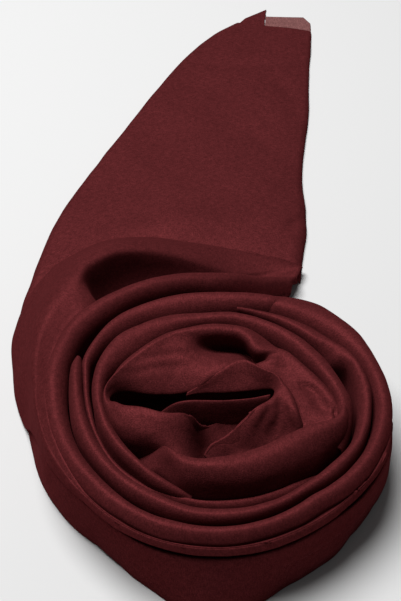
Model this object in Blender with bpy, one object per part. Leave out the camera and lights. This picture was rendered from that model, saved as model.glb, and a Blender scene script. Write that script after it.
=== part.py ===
"""Square satin scarf, folded corner to corner into a soft band, wound into a flat rosette.

The band leaves the rosette at the back as a flat tail.  Everything rests on the plane z = 0.
The origin is on that plane, under the middle of the rosette; +Y runs along the tail, +Z is up.
Every stretch of the band is a solid of its own: a ridge that stands on edge, whose hidden
layers are one rounded body.  Tables are in millimetres and degrees; azimuth 0 is +X, 90 is +Y,
and the azimuth keeps counting up where a turn passes over its own start.
"""
import bpy
import math
from collections import namedtuple

MM = 0.001
FULL_TURN = 360.0
CLEARANCE = 0.3        # between neighbouring solids
END_GAP = 0.25         # azimuth between the ends of two stretches
STEP = 5.0             # azimuth between two sections of a turn
LEAST_STEP = 1.0       # a section nearer than this to an end of its stretch is left out
GROOVE_FLOOR = 24.0    # below this height neighbouring turns press against each other
GROOVE_FLOOR_SHARE = 0.5    # the same on a low turn, as a share of its shoulder
FOOT_SPREAD = 5.0      # how far a turn's foot reaches out under a groove
RIDGE_ROUND = 5.5      # height of a ridge's rounded top
RIDGE_ROUND_SHARE = 0.45    # the same on a low turn, as a share of its height
RIDGE_FULLNESS = 0.8   # below 1 a ridge's top is fuller than half an ellipse
CAP_POINTS = 5         # points across a ridge's rounded top
SHARP_ANGLE = 40.0     # edges sharper than this are shaded as edges

WINE = (0.105, 0.020, 0.024)
SATIN_ROUGHNESS = 0.55
LOW_SHADE, SKIRT_SHADE, SINGLE_LAYER_SHADE = 0.9, 0.7, 1.6    # how much lighter or darker

# --- turns of the rosette: a ridge's outer and inner side and its top ---------------------------
Ridge = namedtuple("Ridge", "azimuth outer inner top")

OUTER_TURN = [Ridge(*row) for row in (
    (70, 133.0, 124.0, 11.0),
    (76, 120.0, 108.0, 20.0),
    (84, 107.0, 94.5, 33.0),
    (93, 99.0, 86.5, 40.5),
    (105, 94.0, 82.0, 45.5),
    (120, 92.0, 80.5, 48.0),
    (138, 91.0, 80.0, 48.0),
    (156, 86.5, 77.0, 48.0),
    (176, 81.5, 73.0, 47.5),
    (198, 75.3, 66.5, 47.0),
    (221, 71.0, 62.5, 47.0),
    (245, 69.2, 60.5, 47.0),
    (269, 67.8, 59.5, 47.0),
    (294, 67.5, 59.5, 47.0),
    (320, 69.7, 61.5, 47.0),
    (342, 75.8, 67.0, 46.5),
    (365, 81.0, 72.0, 46.0),
    (380, 85.0, 76.0, 46.0),
    (398, 88.0, 78.5, 46.0),
    (411, 87.5, 77.5, 46.0),
    (421, 84.5, 74.0, 46.5),
    (430, 80.5, 69.0, 47.0))]

# At the front the outer turn's wall leans in below its ridge, by this much at its foot.
OUTER_WALL_FROM = 24.0        # it is upright above this height
OUTER_WALL_SHARE = 0.75       # the same where the turn is low, as a share of its shoulder
Taper = namedtuple("Taper", "azimuth inward")
OUTER_TAPER = [Taper(*row) for row in (
    (198, 0.0), (207, 1.8), (214, 3.6), (221, 5.2), (228, 4.4), (237, 2.0), (245, 0.4), (255, 0.0),
    (300, 0.0), (309, 0.8), (319, 0.8), (327, 2.2), (332, 3.2), (341, 4.0), (346, 2.6), (353, 1.2),
    (362, 0.0))]

INNER_WRAP = [Ridge(*row) for row in (
    (430, 80.5, 69.0, 47.0),
    (447, 76.5, 64.5, 48.0),
    (463, 75.5, 64.0, 48.0),
    (476, 76.5, 66.0, 47.0),
    (487, 77.5, 68.5, 46.0),
    (501, 74.5, 68.0, 46.0),
    (513, 70.8, 65.5, 45.5),
    (524, 65.3, 61.3, 45.0),
    (536, 60.8, 57.9, 44.5),
    (552, 56.6, 54.0, 44.0),
    (570, 53.4, 50.9, 44.0),
    (592, 51.3, 48.6, 44.0),
    (612, 51.0, 47.0, 44.5),
    (632, 51.3, 46.0, 45.0),
    (652, 52.3, 47.5, 45.0),
    (677, 54.2, 52.0, 44.5))]

MIDDLE_TURN = [Ridge(*row) for row in (
    (155, 74.8, 72.6, 45.5),
    (165, 71.0, 66.3, 47.5),
    (178, 68.0, 62.0, 48.5),
    (194, 63.8, 57.3, 49.0),
    (207, 61.3, 55.0, 49.0),
    (220, 59.8, 53.3, 49.0),
    (241, 58.0, 51.8, 49.0),
    (262, 58.0, 51.7, 49.0),
    (283, 58.3, 52.2, 49.0),
    (307, 59.0, 53.5, 49.0),
    (328, 61.8, 56.5, 48.5),
    (347, 67.0, 60.8, 48.0),
    (363, 70.3, 63.0, 48.0),
    (377, 73.3, 63.0, 48.0),
    (391, 75.3, 61.8, 48.0),
    (405, 73.8, 60.5, 48.0),
    (418, 70.5, 60.2, 48.5),
    (430, 66.3, 60.6, 49.0),
    (441, 63.4, 61.4, 49.5))]

INNER_TURN = [Ridge(*row) for row in (
    (0, 59.2, 56.6, 52.5),
    (12, 58.0, 51.6, 53.0),
    (24, 58.5, 49.0, 53.0),
    (39, 58.8, 47.6, 52.0),
    (60, 58.8, 47.8, 52.0),
    (83, 59.3, 48.3, 52.0),
    (98, 60.0, 48.4, 52.0),
    (111, 61.5, 47.6, 52.0),
    (125, 63.5, 47.8, 52.0),
    (138, 64.0, 48.8, 52.0),
    (151, 63.0, 50.6, 52.0),
    (162, 60.3, 52.3, 52.0),
    (175, 57.4, 52.0, 52.0),
    (190, 53.8, 48.3, 51.5),
    (205, 50.9, 44.8, 51.0),
    (218, 49.0, 43.6, 50.0),
    (232, 48.0, 43.0, 49.0),
    (245, 46.8, 43.0, 47.0),
    (255, 46.2, 43.4, 44.0))]

# --- the cloth outside the turns ----------------------------------------------------------------
# The band climbs from the tail: a pocket beside the outer turn, a fold that arches behind it,
# and the fold's slope down to the tail or the table.
Climb = namedtuple("Climb", "azimuth rim pocket pocket_top crest crest_top edge edge_top")
COLLAR = [Climb(*row) for row in (
    (70, 8.0, 135.0, 7.5, 136.5, 7.0, 138.5, 5.0),
    (75, 8.0, 127.0, 7.0, 131.0, 7.5, 138.5, 6.0),
    (85, 7.0, 113.0, 6.0, 125.0, 11.0, 138.5, 8.0),
    (95, 6.0, 107.0, 5.0, 126.0, 20.0, 142.0, 11.0),
    (105, 6.0, 106.0, 5.0, 128.0, 29.0, 146.0, 16.0),
    (115, 8.0, 105.0, 6.0, 129.0, 35.0, 147.5, 20.0),
    (125, 17.0, 102.0, 14.0, 125.5, 38.0, 146.5, 18.0),
    (133, 32.0, 98.5, 31.0, 116.0, 39.0, 143.5, 11.0),
    (142, 42.0, 97.0, 40.0, 107.5, 36.0, 133.0, 5.0),
    (152, 43.0, 95.0, 38.0, 103.5, 29.0, 116.5, 4.0),
    (165, 43.0, 88.5, 34.0, 92.5, 22.0, 97.5, 5.0))]
POCKET_WIDTH = 1.5     # the least distance between the outer turn and the pocket's bottom
POCKET_RISE = 0.58     # share of the climb out of the pocket that is done half way to the crest
SLOPE_LEFT = 0.62      # share of the fold's height that is left half way down its slope

# The same cloth goes on round the front as a ledge whose hem hangs free of the skirt below.
Hem = namedtuple("Hem", "azimuth edge edge_top")
LEDGE = [Hem(*row) for row in (
    (165, 97.0, 6.0),
    (171, 90.0, 14.0),
    (178, 85.5, 20.0),
    (189, 80.7, 27.5),
    (200, 77.3, 32.5),
    (209, 75.2, 35.5),
    (219, 73.4, 37.8),
    (240, 71.9, 39.0),
    (269, 70.8, 39.4),
    (295, 71.1, 39.4),
    (320, 72.5, 38.8),
    (331, 74.2, 38.4),
    (341, 77.4, 37.6),
    (358, 80.4, 36.0))]
LEDGE_RIM = 42.5       # height of the ledge where it meets the outer turn
LEDGE_WIDTH = 0.8      # the least that it stands out
LEDGE_DEPTH = 4.0      # how thick the folded hem is
HEM_THICKNESS = 1.4

# The skirt is the band's lower edge, spread on the table into a blunt corner at the front.
Foot = namedtuple("Foot", "azimuth reach swell")
SKIRT = [Foot(*row) for row in (
    (165, 96.0, 0.0),
    (171, 92.0, 0.6),
    (182, 86.0, 1.0),
    (190, 82.0, 1.2),
    (198, 78.2, 1.4),
    (207, 74.2, 1.4),
    (214, 71.2, 1.2),
    (221, 68.8, 1.0),
    (228, 69.0, 0.8),
    (237, 70.6, 0.8),
    (245, 72.6, 0.6),
    (253, 75.6, 0.3),
    (261, 78.4, 0.0),
    (269, 79.6, 0.0),
    (277, 78.2, 0.0),
    (286, 74.2, 0.4),
    (298, 70.8, 0.8),
    (309, 70.6, 0.8),
    (319, 72.0, 0.8),
    (327, 72.0, 0.8),
    (334, 73.0, 0.8),
    (342, 75.4, 0.8),
    (348, 78.0, 0.8),
    (355, 80.8, 0.6),
    (370, 84.0, 0.0))]
SKIRT_UNDER = 1.5      # the skirt's top is this far below the ledge
SKIRT_WIDTH = 1.2      # the least that its foot stands out
SKIRT_NECK = 1.5       # thickness of its upper edge
SKIRT_HEM = 1.2        # thickness of its hem on the table
SKIRT_END = 15.0       # azimuth past the ledge's end in which it sinks to the table
Fall = namedtuple("Fall", "out up")
SKIRT_FALL = (Fall(0.45, 0.60), Fall(0.80, 0.25))    # shares of its width and of its height

# --- the heap in the middle ---------------------------------------------------------------------
Rim = namedtuple("Rim", "azimuth radius")
HEAP_EDGE = [Rim(*row) for row in (
    (-20, 54.8), (-10, 57.2), (-3, 57.3), (4, 54.2), (12, 51.0), (24, 48.5), (39, 47.2),
    (60, 47.4), (83, 47.9), (98, 48.0), (111, 47.2), (125, 47.4), (138, 48.4), (151, 50.2),
    (162, 51.9), (175, 51.6), (190, 47.9), (205, 44.4), (218, 43.2), (232, 42.6), (245, 42.5),
    (255, 42.8), (270, 43.5), (284, 44.6), (300, 46.2), (316, 48.2), (328, 51.0), (340, 54.8),
    (350, 57.2), (357, 57.3))]

# Lines of the heap's ground plan, shared by the folds on both sides of them.
SLIT = ((-49.5, 3.8), (-44.0, 4.2), (-35.0, 4.8), (-26.0, 5.4), (-17.0, 6.2), (-9.0, 7.0),
        (-2.0, 7.0), (4.0, 6.8), (9.5, 6.5), (14.5, 6.0), (19.0, 5.4), (23.5, 4.3))
DIAGONAL = ((-2.6, 13.2), (5.4, 19.4), (12.9, 23.8))
TOP_EDGE = ((20.0, 20.0), (25.8, 13.8), (28.6, 7.0))
FLAP_EDGE = ((33.2, 0.0), (36.4, -8.0), (38.5, -15.5))
FLAP_HEM = ((19.5, 0.5), (13.0, -4.0), (8.0, -10.5), (3.8, -17.0), (-0.8, -22.5))
ROLL_EDGE = ((-46.0, -8.0), (-40.0, -15.2), (-31.0, -19.0), (-22.0, -25.0), (-13.5, -29.5),
             (-5.8, -30.6), (3.0, -31.5), (12.0, -29.2), (22.4, -25.0), (31.0, -19.9),
             FLAP_EDGE[2], (47.5, -11.2), (55.2, -7.8))
WEDGE_LEFT = ((-6.5, 7.0), (-6.5, 9.3))       # where the inner petal comes out of the slit
WEDGE_FRONT = ((-4.2, -28.0), (0.2, -31.1))   # where the right flap goes under the front roll

# Each fold of the heap runs between two of these lines, or from one to the heap's edge, whose
# points are given by azimuth.  A row is one section: its start and end on the plan, and the
# heights at the joint, the lip, the belly, the crest and the far side.
Petal = namedtuple("Petal", "start end joint lip belly crest far")
Across = namedtuple("Across", "lip belly crest")
Height = namedtuple("Height", "at z")
PETAL_ALONG = 2        # sections for each row of a petal's table
PETAL_ACROSS = 9       # faces across a petal

UPPER_ACROSS = Across(0.18, 0.50, 0.84)
UPPER_PETAL = [Petal(*row) for row in (
    (SLIT[0], 172, 44.0, 49.0, 51.0, 51.0, 46.0),
    (SLIT[1], 162, 33.0, 44.5, 50.5, 54.5, 48.0),
    (SLIT[2], 150, 29.0, 44.5, 51.0, 56.5, 48.0),
    (SLIT[3], 137, 28.0, 44.5, 52.0, 57.5, 48.0),
    (SLIT[4], 122, 28.0, 44.5, 54.0, 58.5, 48.0),
    (SLIT[5], 108, 29.0, 45.0, 54.0, 58.5, 47.0),
    (DIAGONAL[0], 95, 42.0, 50.0, 51.0, 58.5, 47.0),
    (DIAGONAL[1], 80, 43.0, 47.0, 45.0, 57.5, 47.0),
    (DIAGONAL[2], 64, 45.0, 46.0, 46.0, 56.0, 48.0))]

INNER_ACROSS = Across(0.30, 0.60, 0.90)
INNER_PETAL = [Petal(*row) for row in (
    (WEDGE_LEFT[0], WEDGE_LEFT[1], 29.0, 38.0, 43.0, 44.0, 43.0),
    (SLIT[6], DIAGONAL[0], 28.0, 43.0, 46.5, 49.0, 48.0),
    (SLIT[7], DIAGONAL[1], 28.0, 44.0, 49.0, 53.0, 52.0),
    (SLIT[8], DIAGONAL[2], 28.0, 44.0, 50.0, 55.5, 54.0),
    (SLIT[9], TOP_EDGE[0], 29.0, 45.0, 51.5, 56.5, 54.0),
    (SLIT[10], TOP_EDGE[1], 32.0, 46.0, 53.5, 57.0, 54.0),
    (SLIT[11], TOP_EDGE[2], 45.0, 52.0, 56.0, 57.0, 54.0))]

RIGHT_ACROSS = Across(0.15, 0.50, 0.82)
RIGHT_FOLD = [Petal(*row) for row in (
    (DIAGONAL[2], 62, 52.0, 54.5, 55.5, 56.0, 49.0),
    (TOP_EDGE[0], 47, 52.0, 53.5, 54.0, 54.5, 50.0),
    (TOP_EDGE[1], 31, 51.5, 52.5, 53.0, 53.5, 51.0),
    (TOP_EDGE[2], 16, 49.0, 50.5, 51.5, 53.5, 52.0),
    (FLAP_EDGE[0], 5, 47.0, 48.0, 50.0, 54.0, 53.0),
    (FLAP_EDGE[1], 0, 45.0, 46.5, 48.5, 54.0, 53.5),
    (FLAP_EDGE[2], -6, 46.0, 46.5, 48.0, 53.5, 53.0))]

LEFT_ACROSS = Across(0.50, 0.66, 0.86)
LEFT_PETAL = [Petal(*row) for row in (
    (SLIT[0], 181, 46.0, 50.0, 50.0, 49.0, 46.0),
    (SLIT[1], ROLL_EDGE[0], 36.0, 55.0, 54.0, 49.0, 43.0),
    (SLIT[2], ROLL_EDGE[1], 30.0, 56.5, 55.5, 50.0, 42.0),
    (SLIT[3], ROLL_EDGE[2], 28.0, 57.0, 55.0, 50.0, 42.0),
    (SLIT[4], ROLL_EDGE[3], 28.0, 56.0, 53.0, 49.0, 45.0),
    (SLIT[5], ROLL_EDGE[4], 28.0, 53.0, 48.0, 46.0, 47.0),
    (SLIT[6], ROLL_EDGE[5], 29.0, 46.0, 42.0, 41.0, 42.0),
    (SLIT[7], FLAP_HEM[4], 31.0, 40.0, 38.0, 37.0, 38.0),
    (SLIT[8], FLAP_HEM[3], 31.0, 37.0, 36.0, 35.0, 36.0),
    (SLIT[9], FLAP_HEM[2], 31.0, 35.0, 34.0, 33.0, 34.0),
    (SLIT[10], FLAP_HEM[1], 31.0, 34.0, 34.0, 33.0, 34.0),
    (SLIT[11], FLAP_HEM[0], 34.0, 36.0, 36.0, 35.0, 35.0))]

FLAP_ACROSS = Across(0.10, 0.45, 0.86)
RIGHT_FLAP = [Petal(*row) for row in (
    (SLIT[11], TOP_EDGE[2], 46.0, 55.5, 57.0, 57.0, 53.0),
    (FLAP_HEM[0], FLAP_EDGE[0], 44.0, 57.0, 54.5, 56.5, 50.0),
    (FLAP_HEM[1], FLAP_EDGE[1], 42.0, 57.0, 52.0, 54.0, 49.0),
    (FLAP_HEM[2], FLAP_EDGE[2], 42.0, 56.0, 50.0, 49.0, 48.0),
    (FLAP_HEM[3], ROLL_EDGE[8], 42.0, 55.0, 49.0, 47.0, 47.0),
    (FLAP_HEM[4], ROLL_EDGE[7], 42.0, 54.0, 49.0, 47.0, 47.0),
    (WEDGE_FRONT[0], WEDGE_FRONT[1], 43.0, 49.0, 48.0, 47.0, 46.0))]

ROLL_ACROSS = Across(0.16, 0.42, 0.78)
FRONT_ROLL = [Petal(*row) for row in (
    (ROLL_EDGE[0], 195, 30.0, 31.5, 32.0, 32.0, 31.0),
    (ROLL_EDGE[1], 205, 32.0, 34.5, 35.0, 34.0, 32.0),
    (ROLL_EDGE[2], 217, 38.0, 44.0, 43.0, 39.0, 34.0),
    (ROLL_EDGE[3], 230, 46.0, 53.0, 53.0, 47.0, 38.0),
    (ROLL_EDGE[4], 244, 49.0, 55.5, 55.5, 50.0, 41.0),
    (ROLL_EDGE[5], 257, 50.0, 56.5, 56.5, 51.5, 43.0),
    (ROLL_EDGE[6], 271, 50.0, 57.0, 57.0, 52.0, 43.0),
    (ROLL_EDGE[7], 286, 50.0, 57.0, 57.0, 51.5, 43.0),
    (ROLL_EDGE[8], 301, 50.0, 57.0, 57.0, 51.5, 43.0),
    (ROLL_EDGE[9], 314, 50.0, 57.0, 56.5, 51.0, 43.0),
    (ROLL_EDGE[10], 328, 50.0, 56.5, 56.0, 51.0, 43.0),
    (ROLL_EDGE[11], 341, 50.0, 56.0, 55.5, 51.5, 45.0),
    (ROLL_EDGE[12], 350, 50.0, 54.0, 54.0, 52.5, 49.0))]

# --- the tail -----------------------------------------------------------------------------------
# Sections across the tail, from the collar to its far end; follow is how much a section still
# takes its bend and height from the collar's edge, and the heights are those of the two rounded
# sides and the middle.
TailRow = namedtuple("TailRow", "left_x left_y right_x right_y follow side_left middle side_right")
TAIL = [TailRow(*row) for row in (
    (-105.1, 82.0, 47.3, 130.0, 1.0, 5.0, 17.0, 5.0),
    (-104.0, 97.0, 49.5, 146.0, 0.85, 6.0, 15.0, 5.0),
    (-99.0, 123.0, 51.5, 161.0, 0.60, 6.0, 13.0, 5.0),
    (-91.0, 161.0, 51.5, 177.0, 0.35, 6.0, 11.0, 5.0),
    (-79.0, 193.0, 51.0, 198.0, 0.15, 5.5, 9.0, 4.5),
    (-62.0, 228.0, 53.5, 229.0, 0.0, 5.0, 7.0, 4.0),
    (-40.0, 272.0, 58.0, 264.0, 0.0, 4.0, 5.5, 3.5),
    (-19.0, 313.0, 60.0, 300.0, 0.0, 3.0, 4.5, 3.0),
    (0.0, 337.5, 62.0, 327.0, 0.0, 2.5, 3.5, 2.5),
    (15.0, 350.5, 63.0, 341.0, 0.0, 2.0, 2.5, 2.0))]
TAIL_ACROSS = 14       # faces across the tail
TAIL_SIDE = 0.6        # share of a side's height that its outermost line has
TAIL_FULLNESS = 0.7    # below 1 the tail is flatter in the middle than half a sine
TAIL_STEP = 0.5        # how far the tail starts below the collar's edge
TAIL_GAP = 0.45        # how far the tail starts outside it
TAIL_FROM, TAIL_TO = 145.0, 70.0   # the stretch of the collar's edge that the tail starts from

FAR_CORNER = ((33.5, 347.0), (63.0, 341.4), (63.2, 351.0), (59.0, 357.5), (34.5, 358.5))
FAR_POINT = ((15.4, 350.8), (32.9, 347.2), (33.8, 358.2), (35.2, 366.0), (21.0, 356.5))
SINGLE_LAYER = 1.2     # thickness of the cloth where only one layer is left


def clear_scene():
    for leftover in list(bpy.data.objects):
        bpy.data.objects.remove(leftover, do_unlink=True)


def satin(name, shade=1.0):
    """A plain satin finish; shade lightens or darkens the wine red."""
    material = bpy.data.materials.new(name)
    material.use_nodes = True
    surface = material.node_tree.nodes["Principled BSDF"]
    surface.inputs["Base Color"].default_value = (*(channel * shade for channel in WINE), 1.0)
    surface.inputs["Roughness"].default_value = SATIN_ROUGHNESS
    surface.inputs["Metallic"].default_value = 0.0
    return material


def table_value(rows, column, at):
    """A column of a table read between its rows, on a smooth curve that doesn't overshoot."""
    keys = [row[0] for row in rows]
    values = [getattr(row, column) for row in rows]
    if at <= keys[0]:
        return values[0]
    if at >= keys[-1]:
        return values[-1]
    k = max(i for i in range(len(keys) - 1) if keys[i] <= at)
    slopes = [(values[i + 1] - values[i]) / (keys[i + 1] - keys[i]) for i in range(len(keys) - 1)]

    def tangent(i):
        if i == 0:
            return slopes[0]
        if i == len(keys) - 1:
            return slopes[-1]
        before, after = slopes[i - 1], slopes[i]
        return 0.0 if before * after <= 0 else 2 * before * after / (before + after)

    width = keys[k + 1] - keys[k]
    t = (at - keys[k]) / width
    return ((2 * t**3 - 3 * t**2 + 1) * values[k] + (t**3 - 2 * t**2 + t) * width * tangent(k)
            + (3 * t**2 - 2 * t**3) * values[k + 1] + (t**3 - t**2) * width * tangent(k + 1))


def azimuths(first, last):
    """Azimuths of a turn's sections: its two ends and every multiple of STEP between."""
    inner = [k * STEP for k in range(math.ceil(first / STEP), math.floor(last / STEP) + 1)]
    inner = [azimuth for azimuth in inner
             if first + LEAST_STEP < azimuth < last - LEAST_STEP]
    return [first] + inner + [last]


def polar(azimuth, radius, height):
    angle = math.radians(azimuth)
    return (radius * math.cos(angle), radius * math.sin(angle), height)


def solid(name, sections, shade=1.0):
    """A closed body through sections with equal numbers of points, capped at both ends."""
    count = len(sections[0])
    points = [tuple(value * MM for value in point) for section in sections for point in section]
    faces = []

    def apart(i, j):
        return math.dist(points[i], points[j])

    for i in range(len(sections) - 1):
        for j in range(count):
            a, b = i * count + j, i * count + (j + 1) % count
            c, d = b + count, a + count
            if apart(a, c) <= apart(b, d):
                faces += [(a, b, c), (a, c, d)]
            else:
                faces += [(a, b, d), (b, c, d)]
    last = (len(sections) - 1) * count
    for j in range((count - 1) // 2):
        rung = [j, j + 1, count - 2 - j, count - 1 - j]
        if rung[1] == rung[2]:
            rung.pop(2)
        faces.append(tuple(reversed(rung)))
        faces.append(tuple(last + corner for corner in rung))
    mesh = bpy.data.meshes.new(name)
    mesh.from_pydata(points, [], faces)
    mesh.validate()
    if signed_volume(points, faces) < 0:
        mesh.flip_normals()
    mesh.shade_smooth()
    mesh.set_sharp_from_angle(angle=math.radians(SHARP_ANGLE))
    mesh.materials.append(satin(name + "_satin", shade))
    body = bpy.data.objects.new(name, mesh)
    bpy.context.collection.objects.link(body)
    return body


def signed_volume(points, faces):
    total = 0.0
    for face in faces:
        x0, y0, z0 = points[face[0]]
        for b, c in zip(face[1:], face[2:]):
            x1, y1, z1 = points[b]
            x2, y2, z2 = points[c]
            total += x0 * (y1 * z2 - y2 * z1) + y0 * (z1 * x2 - z2 * x1) + z0 * (x1 * y2 - x2 * y1)
    return total


def rounded_top(inner, outer, shoulder, top):
    """Points over a ridge from its inner to its outer side, as (radius, height)."""
    middle, half = (inner + outer) / 2, (outer - inner) / 2
    points = []
    for k in range(CAP_POINTS):
        angle = math.pi * (1 - k / (CAP_POINTS - 1))
        rise = max(0.0, math.sin(angle)) ** RIDGE_FULLNESS
        points.append((middle + half * math.cos(angle), shoulder + (top - shoulder) * rise))
    return points


def between(outside_rows, outside_azimuth, inside_rows, inside_azimuth):
    """The line half way between two neighbouring stretches, as a radius."""
    return (table_value(outside_rows, "inner", outside_azimuth)
            + table_value(inside_rows, "outer", inside_azimuth)) / 2


# The lines that part each stretch from what lies outside and inside it.  A neighbour counts for
# as much as one section longer than it lasts, so that the next chord stays clear of its end.
def counts_until(rows):
    return math.ceil(rows[-1].azimuth / STEP) * STEP


def line_inside_outer_turn(azimuth):
    if azimuth < MIDDLE_TURN[0].azimuth:
        return between(OUTER_TURN, azimuth, INNER_WRAP, azimuth + FULL_TURN)
    return between(OUTER_TURN, azimuth, MIDDLE_TURN, azimuth)


def line_outside_inner_wrap(azimuth):
    if azimuth < MIDDLE_TURN[0].azimuth + FULL_TURN:
        return between(OUTER_TURN, azimuth - FULL_TURN, INNER_WRAP, azimuth)
    return between(MIDDLE_TURN, azimuth - FULL_TURN, INNER_WRAP, azimuth)


def line_inside_inner_wrap(azimuth):
    if azimuth <= counts_until(MIDDLE_TURN):
        return between(INNER_WRAP, azimuth, MIDDLE_TURN, azimuth)
    if azimuth <= counts_until(INNER_TURN) + FULL_TURN:
        return between(INNER_WRAP, azimuth, INNER_TURN, azimuth - FULL_TURN)
    return heap_rim(azimuth - FULL_TURN)


def line_outside_middle_turn(azimuth):
    if azimuth < OUTER_TURN[-1].azimuth:
        return between(OUTER_TURN, azimuth, MIDDLE_TURN, azimuth)
    return between(INNER_WRAP, azimuth, MIDDLE_TURN, azimuth)


def line_inside_middle_turn(azimuth):
    if azimuth <= counts_until(INNER_WRAP) - FULL_TURN:
        return between(MIDDLE_TURN, azimuth, INNER_WRAP, azimuth + FULL_TURN)
    if azimuth < INNER_TURN[0].azimuth + FULL_TURN:
        return heap_rim(azimuth)
    return between(MIDDLE_TURN, azimuth, INNER_TURN, azimuth - FULL_TURN)


def line_outside_inner_turn(azimuth):
    if azimuth <= counts_until(MIDDLE_TURN) - FULL_TURN:
        return between(MIDDLE_TURN, azimuth + FULL_TURN, INNER_TURN, azimuth)
    return between(INNER_WRAP, azimuth + FULL_TURN, INNER_TURN, azimuth)


def heap_rim(azimuth):
    return table_value(HEAP_EDGE, "radius", azimuth)


def shoulder_height(top):
    """Where a ridge's rounded top starts."""
    return top - min(RIDGE_ROUND, RIDGE_ROUND_SHARE * top)


def outer_wall_height(azimuth):
    """Height above which the outer turn's outer wall is upright."""
    top = table_value(OUTER_TURN, "top", azimuth)
    return min(OUTER_WALL_FROM, OUTER_WALL_SHARE * shoulder_height(top))


def outer_wall(azimuth, height):
    """Radius of the outer turn's outer wall, which the cloth outside it follows."""
    inward = table_value(OUTER_TAPER, "inward", azimuth)
    lean = max(0.0, 1.0 - height / outer_wall_height(azimuth))
    return table_value(OUTER_TURN, "outer", azimuth) - inward * lean


def turn_section(rows, azimuth, line_outside, line_inside):
    """One section of a turn: two walls, a narrower ridge above them, a rounded top."""
    outer = table_value(rows, "outer", azimuth)
    inner = table_value(rows, "inner", azimuth)
    top = table_value(rows, "top", azimuth)
    shoulder = shoulder_height(top)
    floor = min(GROOVE_FLOOR, GROOVE_FLOOR_SHARE * shoulder)
    if line_outside is None:
        foot = [(outer, outer_wall_height(azimuth)), (outer_wall(azimuth, 0.0), 0.0)]
    else:
        line = line_outside(azimuth) - CLEARANCE / 2
        foot_out = min(line, outer + FOOT_SPREAD)
        outer = min(outer, line)
        foot = [(foot_out, floor), (foot_out, 0.0)]
    line = line_inside(azimuth) + CLEARANCE / 2
    foot_in = max(line, inner - FOOT_SPREAD)
    inner = max(inner, line)
    profile = [(foot_in, 0.0), (foot_in, floor)] + rounded_top(inner, outer, shoulder, top) + foot
    return [polar(azimuth, radius, height) for radius, height in profile]


def turn(name, rows, outside, inside, start_gap=0.0, shade=1.0):
    places = azimuths(rows[0].azimuth + start_gap, rows[-1].azimuth)
    return solid(name, [turn_section(rows, azimuth, outside, inside) for azimuth in places], shade)


def build_turns():
    turn("outer_turn", OUTER_TURN, None, line_inside_outer_turn)
    turn("inner_wrap", INNER_WRAP, line_outside_inner_wrap, line_inside_inner_wrap,
         END_GAP, LOW_SHADE)
    turn("middle_turn", MIDDLE_TURN, line_outside_middle_turn, line_inside_middle_turn)
    turn("inner_turn", INNER_TURN, line_outside_inner_turn, heap_rim)


def build_collar():
    sections = []
    for azimuth in azimuths(COLLAR[0].azimuth, COLLAR[-1].azimuth):
        row = Climb(azimuth, *(table_value(COLLAR, name, azimuth) for name in Climb._fields[1:]))
        wall = outer_wall(azimuth, 0.0) + CLEARANCE
        pocket = max(row.pocket, wall + POCKET_WIDTH)
        climb = row.pocket_top + POCKET_RISE * (row.crest_top - row.pocket_top)
        slope = row.edge_top + SLOPE_LEFT * (row.crest_top - row.edge_top)
        profile = [(wall, 0.0), (wall, row.rim), (pocket, row.pocket_top),
                   ((pocket + row.crest) / 2, climb), (row.crest, row.crest_top),
                   ((row.crest + row.edge) / 2, slope), (row.edge, row.edge_top), (row.edge, 0.0)]
        sections.append([polar(azimuth, radius, height) for radius, height in profile])
    return solid("collar", sections)


def ledge_section(azimuth):
    top = table_value(LEDGE, "edge_top", azimuth)
    wall = outer_wall(azimuth, LEDGE_RIM) + CLEARANCE
    under = outer_wall(azimuth, top - LEDGE_DEPTH) + CLEARANCE
    edge = max(table_value(LEDGE, "edge", azimuth), wall + LEDGE_WIDTH)
    slope = top + SLOPE_LEFT * (LEDGE_RIM - top)
    return [(under, top - LEDGE_DEPTH), (wall, LEDGE_RIM), ((wall + edge) / 2, slope),
            (edge, top), (edge, top - HEM_THICKNESS)]


def build_ledge():
    sections = []
    for azimuth in azimuths(LEDGE[0].azimuth + END_GAP, LEDGE[-1].azimuth):
        sections.append([polar(azimuth, *pair) for pair in ledge_section(azimuth)])
    return solid("hem_ledge", sections, LOW_SHADE)


def skirt_section(azimuth):
    """Up the inside along the outer turn's wall, and down the outside to the table."""
    rim = ledge_section(azimuth)[0][1] - CLEARANCE - SKIRT_UNDER
    rim *= 1.0 - max(0.0, azimuth - FULL_TURN) / SKIRT_END
    bend = min(outer_wall_height(azimuth), rim - SKIRT_UNDER)
    inside = [(outer_wall(azimuth, height) + CLEARANCE, height) for height in (0.0, bend, rim)]
    reach = max(table_value(SKIRT, "reach", azimuth), inside[0][0] + SKIRT_WIDTH)
    swell = table_value(SKIRT, "swell", azimuth)
    neck = inside[2][0] + SKIRT_NECK
    fall = [(neck + share.out * (reach - neck) + swell, share.up * rim) for share in SKIRT_FALL]
    return inside + [(neck, rim)] + fall + [(reach, SKIRT_HEM), (reach, 0.0)]


def build_skirt():
    sections = []
    for azimuth in azimuths(SKIRT[0].azimuth + 4 * END_GAP, SKIRT[-1].azimuth):
        sections.append([polar(azimuth, *pair) for pair in skirt_section(azimuth)])
    return solid("skirt", sections, SKIRT_SHADE)


def heap_point(place):
    """A point of the heap's plan: a given one, or the one on its edge at an azimuth."""
    if isinstance(place, tuple):
        return place
    return polar(place, heap_rim(place % FULL_TURN), 0.0)[:2]


def way_between(a, b, t):
    """The point that lies at t on the straight way from a to b."""
    return tuple(start + (end - start) * t for start, end in zip(a, b))


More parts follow.
